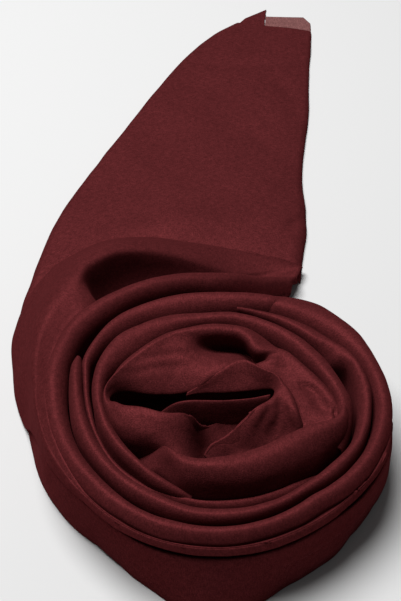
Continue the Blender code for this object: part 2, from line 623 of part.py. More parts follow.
def petal_section(rows, across, at):
    """A fold's section at a place between two rows, set back from the lines on both sides."""
    k = min(int(at), len(rows) - 2)
    near = way_between(heap_point(rows[k].start), heap_point(rows[k + 1].start), at - k)
    far = way_between(heap_point(rows[k].end), heap_point(rows[k + 1].end), at - k)
    heights = [(k, *row[2:]) for k, row in enumerate(rows)]
    joint, lip, belly, crest, edge = (
        table_value([Height(row[0], row[i]) for row in heights], "z", at) for i in range(1, 6))
    inset = CLEARANCE / 2 / math.dist(near, far)
    stations = [Height(inset, joint), Height(across.lip, lip), Height(across.belly, belly),
                Height(across.crest, crest), Height(1 - inset, edge)]
    steps = [inset + (1 - 2 * inset) * k / PETAL_ACROSS for k in range(PETAL_ACROSS + 1)]
    top = [(*way_between(near, far, t), table_value(stations, "z", t)) for t in steps]
    return [(*top[0][:2], 0.0)] + top + [(*top[-1][:2], 0.0)]


def build_petal(name, rows, across):
    """A fold of the heap, smooth between its rows and across them."""
    last = (len(rows) - 1) * PETAL_ALONG
    sections = [petal_section(rows, across, k / PETAL_ALONG) for k in range(last + 1)]
    return solid(name, sections)


def build_heap():
    build_petal("upper_petal", UPPER_PETAL, UPPER_ACROSS)
    build_petal("inner_petal", INNER_PETAL, INNER_ACROSS)
    build_petal("right_fold", RIGHT_FOLD, RIGHT_ACROSS)
    build_petal("left_petal", LEFT_PETAL, LEFT_ACROSS)
    build_petal("right_flap", RIGHT_FLAP, FLAP_ACROSS)
    build_petal("front_roll", FRONT_ROLL, ROLL_ACROSS)


def collar_edge(t):
    """Point on the tail's near side: along the collar's edge, just outside it and below its top."""
    azimuth = TAIL_FROM + (TAIL_TO - TAIL_FROM) * t
    radius = table_value(COLLAR, "edge", azimuth) + TAIL_GAP
    return polar(azimuth, radius, table_value(COLLAR, "edge_top", azimuth) - TAIL_STEP)


def tail_point(row, t):
    """Where a section of the tail is at t, from its left side at 0 to its right at 1."""
    x = row.left_x + (row.right_x - row.left_x) * t
    y = row.left_y + (row.right_y - row.left_y) * t
    side = TAIL_SIDE * (row.side_left * (1 - t) + row.side_right * t)
    z = side + (row.middle - side) * max(0.0, math.sin(math.pi * t)) ** TAIL_FULLNESS
    start, end, bent = collar_edge(0.0), collar_edge(1.0), collar_edge(t)
    x += row.follow * (bent[0] - start[0] - (end[0] - start[0]) * t)
    y += row.follow * (bent[1] - start[1] - (end[1] - start[1]) * t)
    z += row.follow * (bent[2] - z)
    return x, y, z


def build_tail():
    first = TAIL[0]._replace(left_x=collar_edge(0)[0], left_y=collar_edge(0)[1],
                             right_x=collar_edge(1)[0], right_y=collar_edge(1)[1])
    sections = []
    for row in [first] + TAIL[1:]:
        top = [tail_point(row, k / TAIL_ACROSS) for k in range(TAIL_ACROSS + 1)]
        floor = [(x, y, 0.0) for x, y, _ in reversed(top)]
        sections.append(top + floor)
    return solid("tail", sections)


def plate(name, outline, thickness, shade=1.0):
    """A flat piece of cloth, given by its outline."""
    bottom = [(x, y, 0.0) for x, y in outline]
    top = [(x, y, thickness) for x, y in outline]
    return solid(name, [bottom, top], shade)


def build_scarf():
    clear_scene()
    build_turns()
    build_collar()
    build_ledge()
    build_skirt()
    build_heap()
    build_tail()
    plate("tail_corner", FAR_CORNER, SINGLE_LAYER, SINGLE_LAYER_SHADE)
    plate("tail_point", FAR_POINT, SINGLE_LAYER)


build_scarf()
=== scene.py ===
"""Looks of the folded square scarf: every stretch of its band as a thin shell of satin cloth.

The tables and the functions that shape the cloth are in millimetres and degrees, in the frame of
the solids. Azimuth 0 is +X and 90 is +Y, and it keeps counting up where a turn passes its own
start. The meshes, the materials, the lights and the camera are in metres.
"""

import math
from collections import namedtuple

import bpy
import numpy as np
from mathutils import Matrix, Vector


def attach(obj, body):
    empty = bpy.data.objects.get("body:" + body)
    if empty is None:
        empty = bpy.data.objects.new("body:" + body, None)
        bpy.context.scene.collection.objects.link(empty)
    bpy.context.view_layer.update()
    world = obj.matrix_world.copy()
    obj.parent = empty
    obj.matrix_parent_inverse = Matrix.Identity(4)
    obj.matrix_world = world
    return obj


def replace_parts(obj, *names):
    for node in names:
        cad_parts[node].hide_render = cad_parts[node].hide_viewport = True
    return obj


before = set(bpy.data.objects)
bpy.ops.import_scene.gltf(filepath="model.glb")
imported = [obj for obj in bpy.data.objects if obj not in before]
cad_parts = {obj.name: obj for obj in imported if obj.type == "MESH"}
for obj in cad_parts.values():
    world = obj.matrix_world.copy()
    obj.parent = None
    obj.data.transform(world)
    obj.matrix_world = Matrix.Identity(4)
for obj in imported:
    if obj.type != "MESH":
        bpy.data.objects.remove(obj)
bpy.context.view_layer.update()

MM = 0.001
PLY = 0.7              # thickness of the cloth as it is modelled
CORNER_PLY = 0.4       # and at the far end, where it lies in one layer
POINT_PLY = 0.5

DEGREES_A_ROW = 0.8    # azimuth between two rows of a turn
POINTS_UP_A_WALL = 14
POINTS_OVER_A_RIDGE = 26
WAVES = 14             # how many waves make up the cloth's unevenness
CREASE_STEPS = 26      # places along a crease

FOOT = 3.0             # height at which a turn's walls end
GROOVE_FLOOR = 27.0    # round this height a turn's walls lean out to meet their neighbours
LEAN_BAND = 8.0        # the height over which they do so
FOOT_SPREAD = 5.0      # how far they do so at most
WALL_GAP = 0.2         # left on each side between two walls that lean together
STEEPNESS = 1.8        # how much taller than wide the round side of a ridge is
DEEPEST_SIDE = 9.5     # and how tall it gets at most
BED = 28.0             # height of the hidden cloth under the heap
BED_GAP = 0.3          # between its rim and the innermost walls

# --- the turns of the rosette -------------------------------------------------------------------
# The radii of a ridge's outer side, its crest and its inner side, and the height of its top.
Ridge = namedtuple("Ridge", "azimuth outer crest inner top")

OUTER_TURN = [Ridge(*row) for row in (
    (70, 128.0, 122.0, 117.5, 11.0),
    (76, 117.0, 109.5, 104.0, 20.0),
    (84, 104.5, 96.5, 91.0, 33.0),
    (93, 97.5, 89.2, 84.0, 40.5),
    (105, 94.0, 87.0, 82.0, 45.5),
    (120, 92.5, 86.5, 80.8, 48.0),
    (138, 92.5, 87.0, 80.0, 48.0),
    (156, 88.0, 82.5, 76.3, 48.0),
    (166, 85.0, 79.2, 72.5, 48.0),
    (176, 81.5, 75.7, 69.6, 47.5),
    (186, 78.5, 72.7, 67.0, 47.2),
    (198, 75.0, 69.8, 64.6, 47.0),
    (209, 72.2, 67.6, 62.8, 47.0),
    (221, 70.3, 66.0, 61.4, 47.0),
    (245, 69.0, 64.8, 60.3, 47.0),
    (269, 67.8, 63.6, 59.3, 47.0),
    (294, 67.5, 63.2, 58.9, 47.0),
    (310, 67.8, 63.3, 59.2, 47.0),
    (320, 70.0, 65.6, 61.2, 47.0),
    (331, 73.3, 68.8, 64.3, 46.7),
    (342, 76.3, 71.8, 66.9, 46.5),
    (353, 79.0, 74.4, 69.4, 46.2),
    (365, 81.5, 77.0, 72.0, 46.0),
    (380, 83.5, 78.2, 73.5, 46.0),
    (398, 87.0, 79.5, 72.0, 46.0),
    (411, 87.3, 77.3, 69.8, 46.0),
    (421, 84.5, 75.2, 69.0, 46.5),
    (434, 80.0, 73.0, 67.5, 46.0))]

INNER_WRAP = [Ridge(*row) for row in (
    (424, 82.0, 76.5, 71.5, 45.0),
    (430, 79.5, 74.0, 68.0, 47.0),
    (447, 76.5, 71.0, 64.0, 48.0),
    (463, 77.0, 72.0, 63.5, 48.0),
    (476, 78.0, 73.6, 65.5, 47.0),
    (487, 79.0, 75.0, 67.8, 46.0),
    (501, 75.5, 72.8, 68.0, 46.0),
    (512, 73.0, 70.2, 67.0, 45.6),
    (518, 69.2, 67.0, 64.8, 44.8),
    (525, 65.4, 63.7, 62.0, 43.4),
    (536, 61.5, 59.8, 58.3, 43.5),
    (552, 57.0, 55.8, 54.8, 42.0),
    (570, 53.8, 52.6, 51.5, 41.0),
    (588, 52.0, 49.5, 48.0, 41.0),
    (600, 50.8, 47.4, 46.2, 42.0),
    (614, 49.6, 46.4, 45.2, 42.2),
    (632, 49.6, 46.3, 45.1, 42.3),
    (652, 50.6, 47.2, 45.9, 42.3),
    (670, 53.2, 49.6, 48.3, 42.0),
    (680, 55.2, 52.0, 50.8, 40.5),
    (690, 57.0, 55.0, 54.0, 37.0))]

MIDDLE_TURN = [Ridge(*row) for row in (
    (152, 76.2, 74.6, 73.2, 44.0),
    (156, 76.0, 72.6, 69.6, 46.3),
    (160, 74.6, 70.8, 67.0, 47.2),
    (167, 71.8, 67.6, 64.2, 48.0),
    (178, 68.2, 64.0, 60.8, 48.5),
    (194, 64.8, 61.0, 57.3, 49.0),
    (207, 62.4, 58.9, 55.0, 49.0),
    (220, 61.0, 57.3, 53.2, 49.0),
    (241, 60.0, 55.8, 51.0, 49.0),
    (262, 59.3, 56.6, 51.4, 48.5),
    (283, 59.0, 56.6, 51.6, 48.5),
    (307, 59.3, 56.8, 52.6, 48.5),
    (328, 63.8, 60.4, 56.2, 48.5),
    (347, 68.5, 65.8, 61.5, 48.0),
    (363, 71.0, 68.6, 63.4, 48.0),
    (377, 73.2, 70.6, 66.0, 48.0),
    (384, 73.2, 70.8, 67.0, 48.0),
    (391, 72.8, 69.6, 62.0, 48.0),
    (405, 70.8, 63.6, 60.6, 48.5),
    (418, 68.0, 63.0, 60.6, 48.8),
    (430, 65.3, 62.2, 60.5, 49.0),
    (441, 63.0, 61.8, 60.8, 49.5))]

INNER_TURN = [Ridge(*row) for row in (
    (-20, 59.5, 56.5, 54.5, 45.0),
    (-8, 61.5, 57.0, 54.0, 51.5),
    (0, 62.0, 57.0, 53.5, 53.5),
    (12, 60.5, 55.3, 51.6, 53.0),
    (24, 59.5, 53.0, 49.5, 53.0),
    (39, 59.3, 53.2, 48.4, 52.0),
    (60, 59.0, 54.0, 48.8, 52.0),
    (83, 59.8, 54.5, 50.0, 52.0),
    (98, 60.2, 53.6, 50.0, 52.0),
    (111, 62.0, 55.4, 49.8, 52.0),
    (125, 64.0, 58.4, 50.0, 52.0),
    (138, 64.8, 61.0, 50.8, 52.0),
    (151, 63.6, 59.5, 52.6, 52.0),
    (162, 60.8, 57.6, 54.0, 52.0),
    (175, 57.8, 55.0, 52.2, 52.0),
    (190, 54.8, 52.0, 48.8, 51.5),
    (205, 52.0, 49.2, 46.0, 51.0),
    (218, 50.0, 47.0, 44.5, 50.0),
    (232, 49.0, 46.2, 43.8, 48.5),
    (245, 47.5, 45.5, 43.5, 45.5),
    (255, 46.3, 45.0, 43.4, 41.0))]

# --- the cloth round the turns ------------------------------------------------------------------
# It comes out of the outer turn's side between the heights root and rim. Then come the radius and
# height of its pocket (dip), of its fold (crest), of the slope below the fold, and of its edge.
Cover = namedtuple("Cover", "azimuth root rim dip dip_z crest crest_z slope slope_z edge edge_z")
ROOT_DEPTH = 1.8       # how far inside the outer turn's side it starts
COVER_GAP = 0.2        # how far it clears that side where it comes out
HEM_FALL = 1.4         # how far the cloth bends down at its edge
HEM_BACK = 4.2         # how far it then goes back inside
HEM_LOWEST = 0.8
COVER = [Cover(*row) for row in (
    (70, 4.0, 8.0, 134.3, 7.5, 135.5, 7.5, 137.0, 6.5, 138.5, 5.0),
    (75, 4.0, 8.0, 128.0, 6.5, 131.0, 7.5, 135.0, 7.5, 139.5, 6.0),
    (85, 4.0, 8.0, 114.0, 6.0, 120.0, 12.0, 131.0, 11.5, 141.0, 7.5),
    (95, 4.0, 8.0, 111.0, 6.0, 118.5, 22.5, 131.0, 19.5, 143.5, 11.0),
    (105, 4.0, 8.0, 112.5, 7.0, 119.5, 32.0, 133.0, 28.0, 147.0, 16.0),
    (115, 6.0, 10.0, 113.5, 9.0, 119.0, 39.5, 133.0, 35.0, 148.5, 19.0),
    (124, 10.0, 14.0, 110.0, 14.0, 115.2, 42.3, 131.0, 34.5, 147.7, 17.5),
    (129, 34.0, 39.0, 102.5, 40.0, 110.0, 43.3, 127.5, 32.0, 146.0, 13.5),
    (136, 42.0, 45.0, 97.0, 43.8, 106.0, 42.0, 124.0, 28.0, 141.0, 7.0),
    (142, 42.0, 45.0, 94.5, 43.5, 104.0, 39.5, 119.5, 23.0, 133.5, 4.0),
    (152, 44.0, 46.0, 91.0, 43.5, 97.5, 37.5, 107.5, 20.0, 117.0, 2.0),
    (165, 44.5, 46.3, 84.0, 44.5, 88.5, 39.5, 94.0, 22.0, 98.5, 2.0),
    (171, 44.3, 46.1, 82.5, 44.3, 85.8, 40.8, 89.2, 27.0, 91.0, 13.0),
    (178, 43.8, 45.6, 79.8, 44.2, 83.0, 41.5, 85.2, 31.0, 85.7, 20.0),
    (189, 43.4, 45.2, 77.0, 43.7, 79.4, 41.8, 80.8, 35.0, 81.0, 27.5),
    (200, 42.4, 44.2, 74.4, 43.0, 76.0, 41.8, 77.2, 38.0, 77.5, 32.5),
    (209, 40.8, 42.6, 72.8, 42.3, 74.0, 41.4, 75.2, 38.8, 75.4, 35.5),
    (219, 38.8, 40.0, 71.3, 41.5, 71.9, 40.7, 72.8, 38.9, 73.2, 36.9),
    (240, 38.4, 39.6, 70.1, 41.4, 70.5, 40.5, 71.4, 38.8, 71.8, 37.0),
    (269, 38.4, 39.6, 68.9, 41.4, 69.3, 40.5, 70.3, 38.8, 70.8, 37.0),
    (295, 38.4, 39.6, 68.7, 41.4, 69.1, 40.5, 70.2, 38.8, 70.8, 37.0),
    (320, 38.2, 39.4, 71.0, 41.2, 71.4, 40.3, 72.2, 38.6, 72.6, 36.8),
    (331, 38.2, 39.5, 73.9, 41.0, 74.2, 40.2, 74.7, 38.5, 75.0, 36.8),
    (341, 39.0, 41.1, 76.6, 41.1, 77.0, 40.5, 77.5, 39.0, 77.7, 37.4),
    (352, 38.0, 40.4, 78.8, 40.4, 79.2, 39.8, 79.7, 38.0, 79.8, 36.0),
    (362, 32.0, 35.0, 80.4, 35.4, 80.6, 34.6, 80.9, 32.6, 81.0, 31.0))]

# The band's lower edge, spread on the table into a blunt corner at the front: the radius and height
# of its shoulder, the radius it reaches on the table, and how far the slope between them swells.
Foot = namedtuple("Foot", "azimuth shoulder shoulder_z reach swell")
SLOPE_SHARES = (0.3, 0.55, 0.8)    # places on the slope from the shoulder to the table
SKIRT_FOOT = 0.6       # height of its upper side where it lies on the table
SKIRT = [Foot(*row) for row in (
    (160, 90.0, 12.0, 104.0, 0.0),
    (165, 88.0, 18.0, 97.0, 0.0),
    (171, 85.5, 24.0, 92.0, 0.4),
    (182, 82.0, 28.5, 86.0, 0.6),
    (190, 79.4, 31.5, 82.0, 0.8),
    (198, 76.3, 33.8, 78.2, 1.0),
    (207, 74.4, 35.2, 74.4, 1.0),
    (214, 73.0, 35.0, 71.6, 1.0),
    (221, 71.8, 34.4, 69.6, 1.2),
    (228, 71.0, 33.8, 69.6, 1.2),
    (237, 70.7, 33.4, 70.8, 1.0),
    (245, 70.6, 33.2, 72.6, 0.8),
    (253, 70.4, 33.1, 75.6, 0.4),
    (261, 70.1, 33.1, 78.2, 0.0),
    (269, 69.9, 33.1, 79.4, 0.0),
    (277, 69.8, 33.1, 78.0, 0.0),
    (286, 69.8, 33.1, 74.4, 0.4),
    (298, 70.0, 33.1, 71.0, 0.8),
    (309, 70.4, 33.1, 70.8, 0.8),
    (319, 72.0, 33.2, 72.0, 0.8),
    (327, 74.2, 33.6, 72.2, 1.0),
    (334, 76.0, 34.4, 73.2, 1.2),
    (342, 77.6, 34.8, 75.6, 1.2),
    (348, 78.8, 34.2, 78.0, 1.0),
    (355, 80.2, 32.6, 80.8, 0.8),
    (370, 82.5, 26.0, 84.0, 0.0))]

# --- the heap in the middle ---------------------------------------------------------------------
# Sections of a fold, each through six places from its inner edge to its outer one, and how far
# the cloth tucks back under the inner edge.
Fold = namedtuple("Fold", "lip belly dip rim crest far tuck")

# The innermost stretch: from the right round the back to the left, and on in front of the slit.
CORE = [Fold(*row) for row in (
    ((37, -19, 46), (40, -18.5, 46), (43, -18, 46),
     (46, -17.5, 46), (49, -17, 46), (51, -16, 45), 1),
    ((38, -14, 49), (42, -13, 49.5), (45, -12, 50),
     (48, -11, 50.5), (52, -9, 51), (55, -7, 49), 1),
    ((36, -8, 50.5), (40, -7, 51), (44.5, -6, 51),
     (49, -5, 51.5), (53, -4, 52), (56, -2.5, 50), 1),
    ((32.5, -1, 52), (37, 0, 52), (42, 1, 52),
     (47.5, 2, 52.5), (52, 3, 53), (54.6, 3.5, 50), 1),
    ((29.5, 5, 53), (34, 6.2, 52.8), (39, 7.5, 52.6),
     (44, 8.8, 53), (48, 10, 53.5), (50.5, 11, 50), 1),
    ((26, 11, 53.5), (30, 12.2, 53.2), (34.5, 13.6, 53.2),
     (39, 15.2, 53.6), (43, 16.5, 54), (45.5, 18, 50), 1),
    ((22, 16, 54), (26, 17.8, 53.8), (30, 19.5, 53.8),
     (34, 21.2, 54.2), (37.5, 22.5, 54.5), (40, 24, 50), 1),
    ((18.6, 20.5, 53), (21.5, 22.5, 54.5), (24, 24.6, 54.8),
     (27, 27, 55), (30.5, 29.5, 55.2), (33, 31.5, 50), 1),
    ((12, 22.5, 51), (14, 24.6, 49.5), (19, 30, 43),
     (17.2, 28.2, 54.4), (20, 31, 56.6), (25.5, 36.5, 51), 2),
    ((8.5, 22, 51), (10.5, 27, 50), (14.5, 37, 42),
     (13, 34.4, 55.4), (15.5, 38, 57.5), (19, 42.5, 51), 2),
    ((4, 20, 51.5), (5, 28, 51), (6.3, 40, 42),
     (5.7, 37.6, 56), (7, 41.5, 58.2), (8.5, 46.2, 51.5), 2),
    ((-3, 16.5, 50), (-2.6, 26, 52), (-3, 38, 46),
     (-3.2, 37.6, 56), (-3.5, 42, 58.4), (-3.5, 47.2, 51.5), 2),
    ((-9, 13.5, 47), (-10, 23.5, 52.5), (-11.5, 33, 53.5),
     (-12, 37, 56.6), (-13, 40.2, 58.2), (-14, 45, 51.5), 4),
    ((-17, 12, 44.5), (-19.5, 21.5, 51.3), (-22, 30, 55),
     (-23.5, 34.5, 57), (-24, 36.5, 57.5), (-26, 41, 52), 7),
    ((-26, 11.3, 44.5), (-28.5, 18.5, 51), (-31, 24.5, 54.2),
     (-33, 28, 56.2), (-34, 29.5, 56.7), (-36.5, 32.5, 52), 8),
    ((-35, 12, 44.5), (-37, 16, 50), (-39, 19.5, 53),
     (-41, 21.8, 54.8), (-42, 22.8, 55), (-44.5, 25, 51), 7),
    ((-43, 12.5, 45), (-44, 13.8, 49.5), (-45.2, 15, 52),
     (-46.5, 15.8, 53.5), (-47.5, 16.2, 54), (-49.3, 17, 50), 4),
    ((-48, 10, 46.5), (-49, 10.5, 49.5), (-49.6, 10.9, 51.3),
     (-50.2, 11.2, 52.4), (-50.8, 11.5, 53), (-51.8, 12, 50), 1.5),
    ((-49.6, 6, 48.3), (-50.4, 6.2, 50.2), (-51, 6.3, 51.3),
     (-51.5, 6.4, 52), (-52, 6.5, 52.2), (-52.8, 6.7, 50), 1),
    ((-48.8, 2.8, 50.3), (-49.5, 2.3, 51.4), (-50.2, 1.9, 51.9),
     (-50.8, 1.6, 52), (-51.4, 1.2, 51.6), (-52.3, 0.8, 49.5), 1),
    ((-46.8, 1, 52.4), (-47.5, 0, 53.1), (-48.3, -1.2, 52.9),
     (-49, -2.5, 52.2), (-49.6, -3.8, 51.2), (-50.1, -5, 49), 1.5),
    ((-43, -2.3, 54.5), (-43.6, -4, 55), (-44.6, -6, 54.3),
     (-45.5, -8, 53), (-46.3, -9.8, 51.5), (-47, -11, 48.6), 2),
    ((-38, -4, 56), (-38.5, -6, 56.3), (-39.5, -9, 55.2),
     (-40.5, -12, 53.5), (-41.3, -14, 51.5), (-42, -15.3, 48.4), 2.5),
    ((-32, -6, 57), (-32.2, -8.2, 57), (-33, -11.5, 55.4),
     (-34, -15, 53.3), (-34.6, -16.8, 51.3), (-35, -18, 48), 3),
    ((-27, -7.8, 57), (-27, -10.3, 56.8), (-27.2, -13.5, 55),
     (-27.6, -16.5, 53), (-27.8, -18.5, 51), (-28, -20, 48), 3),
    ((-21.5, -8.2, 56.2), (-21.3, -11, 55.6), (-21.2, -14.5, 53.5),
     (-21, -18, 51.3), (-21, -21, 49.5), (-21, -24, 47), 3),
    ((-16, -7.3, 54.8), (-15.6, -10.5, 53), (-15.3, -14.5, 50),
     (-15, -19, 47.5), (-15, -23.5, 46.5), (-15, -28, 46), 3),
    ((-11.9, -7, 51.4), (-11, -9.8, 47), (-10.5, -14, 42),
     (-10, -19, 39), (-9.8, -25, 39), (-9.4, -31, 42), 2),
    ((-9.4, -5.6, 44.6), (-7, -9, 36), (-6, -13, 31.5),
     (-5, -18, 30.5), (-4.5, -24, 31.5), (-4, -31, 37), 1),
    ((-5.4, -2, 38), (-1, -6, 33), (0, -12, 31.5),
     (1, -17, 30.5), (2, -23, 31.5), (4, -30, 35), 1),
    ((4, 2.8, 36), (6, -3.5, 32), (8, -10, 30.5),
     (10, -15, 30), (12, -20, 30), (14, -26, 32), 1),
    ((13, 3.5, 36), (15, -3, 32), (17, -8, 30.5),
     (19, -12, 30), (21, -16, 30), (23, -21, 30), 1),
    ((21, 5, 36), (22.5, -1, 32), (24, -5, 31),
     (26, -8, 30), (28, -11, 30), (30, -14, 30), 1))]

# The fold that comes out over the slit, turns round its right end and lies down as a flap.
FLAP = [Fold(*row) for row in (
    ((-14.5, 10.8, 44.6), (-14.4, 11.1, 45), (-14.3, 11.4, 45.3),
     (-14.2, 11.7, 45.4), (-14, 12, 45.3), (-13.8, 12.4, 44.8), 1),
    ((-8, 11.8, 44.8), (-8, 12.6, 46), (-8, 13.3, 46.9),
     (-8, 13.9, 47.6), (-8, 14.4, 47.9), (-8.2, 15.1, 47.3), 2),
    ((-2, 12, 44.8), (-2, 14, 47.3), (-2, 15.4, 48.9),
     (-2.2, 16.4, 50), (-2.4, 17.2, 50.5), (-2.8, 18.1, 49.9), 3),
    ((5, 12, 45.3), (4.8, 15, 48.6), (4.4, 17.6, 50.9),
     (4.2, 19.4, 52.5), (4, 20.6, 53.1), (3.5, 21.7, 52.4), 4),
    ((11.5, 12, 46), (11.4, 16, 49.6), (11.3, 19.4, 52.2),
     (11.2, 21.8, 54), (11.2, 23.6, 54.8), (11, 24.8, 53.6), 5),
    ((17, 12, 46.5), (17, 14.5, 50), (16.8, 16.8, 52.7),
     (16.6, 18.6, 54.8), (16.6, 20.2, 56), (17, 21.6, 54.6), 5),
    ((21.5, 11.8, 47.5), (21.8, 13, 51), (22, 14, 53.5),
     (22.3, 15, 55.6), (22.8, 15.8, 56.8), (23.8, 16.9, 55.6), 4),
    ((24.5, 10.6, 49.5), (25, 11.2, 52.5), (25.6, 11.6, 54.6),
     (26.2, 12, 56.2), (27, 12.4, 57.2), (28.2, 13, 55.8), 2.5),
    ((25.8, 7.5, 52.3), (26.4, 7.7, 54.4), (27.1, 7.9, 56),
     (28, 8.1, 57), (29, 8.3, 57.4), (30.4, 8.7, 55.8), 1.5),
    ((25.4, 3.5, 55.2), (26.5, 4, 56.6), (28, 4.5, 57.3),
     (29.6, 5, 57.7), (31, 5.2, 57.7), (32.6, 5.6, 55.8), 1.5),
    ((24, 0, 56.8), (26, 0, 57.4), (28.3, 0, 57.3),
     (31, 0.3, 57.4), (33, 0.5, 57.5), (34.6, 0.8, 55.6), 2.5),
    ((20.5, -3.2, 57), (23, -4, 57.2), (26.5, -4, 55.9),
     (31, -3.8, 56.2), (34, -3.6, 57), (35.8, -3.4, 55), 4),
    ((16, -6.3, 56.8), (18.6, -8, 56.3), (24.5, -8.7, 52.4),
     (31, -8.8, 52.2), (35.4, -8.4, 55.2), (37.1, -8.2, 53), 5),
    ((12.5, -10.3, 56.3), (15, -12.3, 55), (22, -13.3, 48.3),
     (30.5, -13.3, 46.6), (36.6, -12.6, 50), (38.4, -12.3, 48.8), 5),
    ((9, -14.3, 56), (11.6, -16.3, 54.3), (18.5, -18, 47.5),
     (27, -18.6, 43.8), (35, -17, 45), (37.5, -16.5, 44.4), 5),
    ((5, -19, 55.3), (7.6, -20.6, 53.5), (14, -22, 47.7),
     (21, -23, 43.8), (28, -23, 42.8), (31, -23.5, 42.4), 5),
    ((0, -22.3, 54.8), (2.6, -24, 53.5), (8, -25, 50.2),
     (13, -26, 48.5), (18, -27, 48), (21, -28, 47), 5),
    ((-4, -24.5, 53.8), (-1.8, -26.5, 52), (2, -28, 49.6),
     (5.5, -29, 48.5), (9, -30, 48), (12, -31, 47), 4),
    ((-6.5, -28, 51.5), (-5, -29.3, 50.5), (-3, -30.3, 49.5),
     (-1, -31, 49), (1, -31.8, 48.5), (4, -32.5, 47), 2))]

# The roll in front, from the loose end at its left to the tip at the right.
ROLL = [Fold(*row) for row in (
    ((-36, -13, 31), (-36.6, -14.5, 31.6), (-37.3, -16, 31.9),
     (-38, -17.3, 31.8), (-38.6, -18.4, 31.4), (-39, -19.1, 30.8), 1),
    ((-32, -17, 37.5), (-32.6, -18.8, 38.3), (-33.4, -20.6, 38.5),
     (-34.2, -22.3, 38.2), (-34.9, -23.7, 37.5), (-35.3, -24.5, 36.5), 1),
    ((-28.2, -20.5, 44.2), (-28.8, -22.5, 44.8), (-29.5, -24.7, 44.6),
     (-30.2, -26.8, 43.6), (-30.9, -28.4, 42.5), (-31.3, -29.3, 41.2), 1.5),
    ((-24.4, -22.8, 51.2), (-24.8, -25, 51.4), (-25.3, -27.2, 50),
     (-26, -29.3, 47.3), (-26.7, -30.9, 45), (-27.2, -31.8, 43), 2),
    ((-21.5, -25.8, 53.6), (-21.5, -28, 54.1), (-21.7, -30, 52.6),
     (-21.9, -32, 49), (-22.3, -33.8, 45.8), (-22.8, -34.9, 43), 3),
    ((-17, -29.5, 54.8), (-17.3, -32, 55.8), (-17.6, -34.5, 54.8),
     (-17.8, -37, 51), (-18, -38.7, 47), (-18.3, -39.6, 43), 4),
    ((-9, -32.8, 55.6), (-9.3, -35.5, 56.8), (-9.6, -38.3, 55.5),
     (-9.8, -40.8, 51.3), (-10, -42, 47), (-10, -42.6, 43), 4),
    ((0, -32.2, 55.8), (0, -35.5, 57.2), (0.3, -39, 55.9),
     (0.5, -41.8, 51.5), (0.8, -42.9, 47), (1, -43.4, 43), 4),
    ((9, -30.2, 55.8), (9.5, -34, 57.2), (10.2, -38, 56),
     (11, -41, 51.6), (11.4, -42.1, 47.2), (11.7, -42.7, 43), 4),
    ((19, -26.3, 55.8), (20, -30, 57.2), (21.2, -34.2, 56),
     (22.3, -37.5, 51.6), (22.9, -38.8, 47.2), (23.3, -39.5, 43), 4),
    ((28, -21.6, 55.8), (29.5, -25.2, 57.2), (31.2, -29.2, 55.9),
     (32.6, -32.4, 51.6), (33.4, -33.9, 47.2), (34, -34.7, 43), 4),
    ((38, -15.8, 55.8), (39.5, -19, 56.8), (41.2, -22.6, 55.4),
     (42.6, -25.7, 51.4), (43.5, -27.3, 47.3), (44, -28.2, 43.5), 3),
    ((46, -12.8, 55.4), (47.3, -15, 56.2), (48.8, -17.4, 54.8),
     (50, -19.5, 51.4), (50.8, -20.7, 48), (51.3, -21.3, 44.5), 2.5),
    ((51.8, -10.3, 54.8), (53, -12, 55.5), (54, -13.6, 54.4),
     (55, -15.1, 51.7), (55.6, -16, 49), (56, -16.5, 46), 2),
    ((54.8, -6.3, 53.8), (56, -7.3, 54.7), (57, -8.2, 54.1),
     (57.9, -9, 52.4), (58.4, -9.6, 50.3), (58.7, -10, 48), 1.5),
    ((55.8, -1.5, 53.3), (56.9, -1.9, 54.2), (57.8, -2.2, 53.7),
     (58.5, -2.5, 52.5), (58.9, -2.7, 51), (59.1, -2.9, 49), 1))]

# A low inner layer that shows between the slit and the roll.
STRIP = [Fold(*row) for row in (
    ((-27, 4, 40), (-27, 3.4, 41), (-27, 2.8, 41),
     (-27, 2, 40), (-27, 1.2, 38.5), (-27, 0.6, 37), 1),
    ((-21, 5, 45), (-21, 4.4, 46.2), (-21, 3.8, 46.1),
     (-21, 3, 44.8), (-21, 2, 42), (-21, 1.2, 39), 1),
    ((-15, 5.2, 47.2), (-15, 4.6, 48.3), (-15, 4, 48.1),
     (-15, 3.2, 46.6), (-15, 2.2, 43.5), (-15, 1.5, 40), 1),
    ((-5, 5.2, 47.6), (-5, 4.6, 48.7), (-5, 4, 48.4),
     (-5, 3.2, 46.8), (-5, 2.2, 43.5), (-5, 1.5, 40), 1),
    ((6, 5.3, 47.8), (6, 4.7, 48.9), (6, 4.1, 48.6),
     (6, 3.3, 47), (6, 2.4, 43.8), (6, 1.8, 40), 1),
    ((14, 6, 48.1), (14, 5.4, 49.2), (14, 4.8, 48.9),
     (14, 4, 47.3), (14, 3.1, 44), (14, 2.5, 40), 1),
    ((24, 8, 48.2), (24, 7.4, 49.3), (24, 6.8, 49),
     (24, 6, 47.4), (24, 5.2, 44), (24, 4.6, 40), 1))]

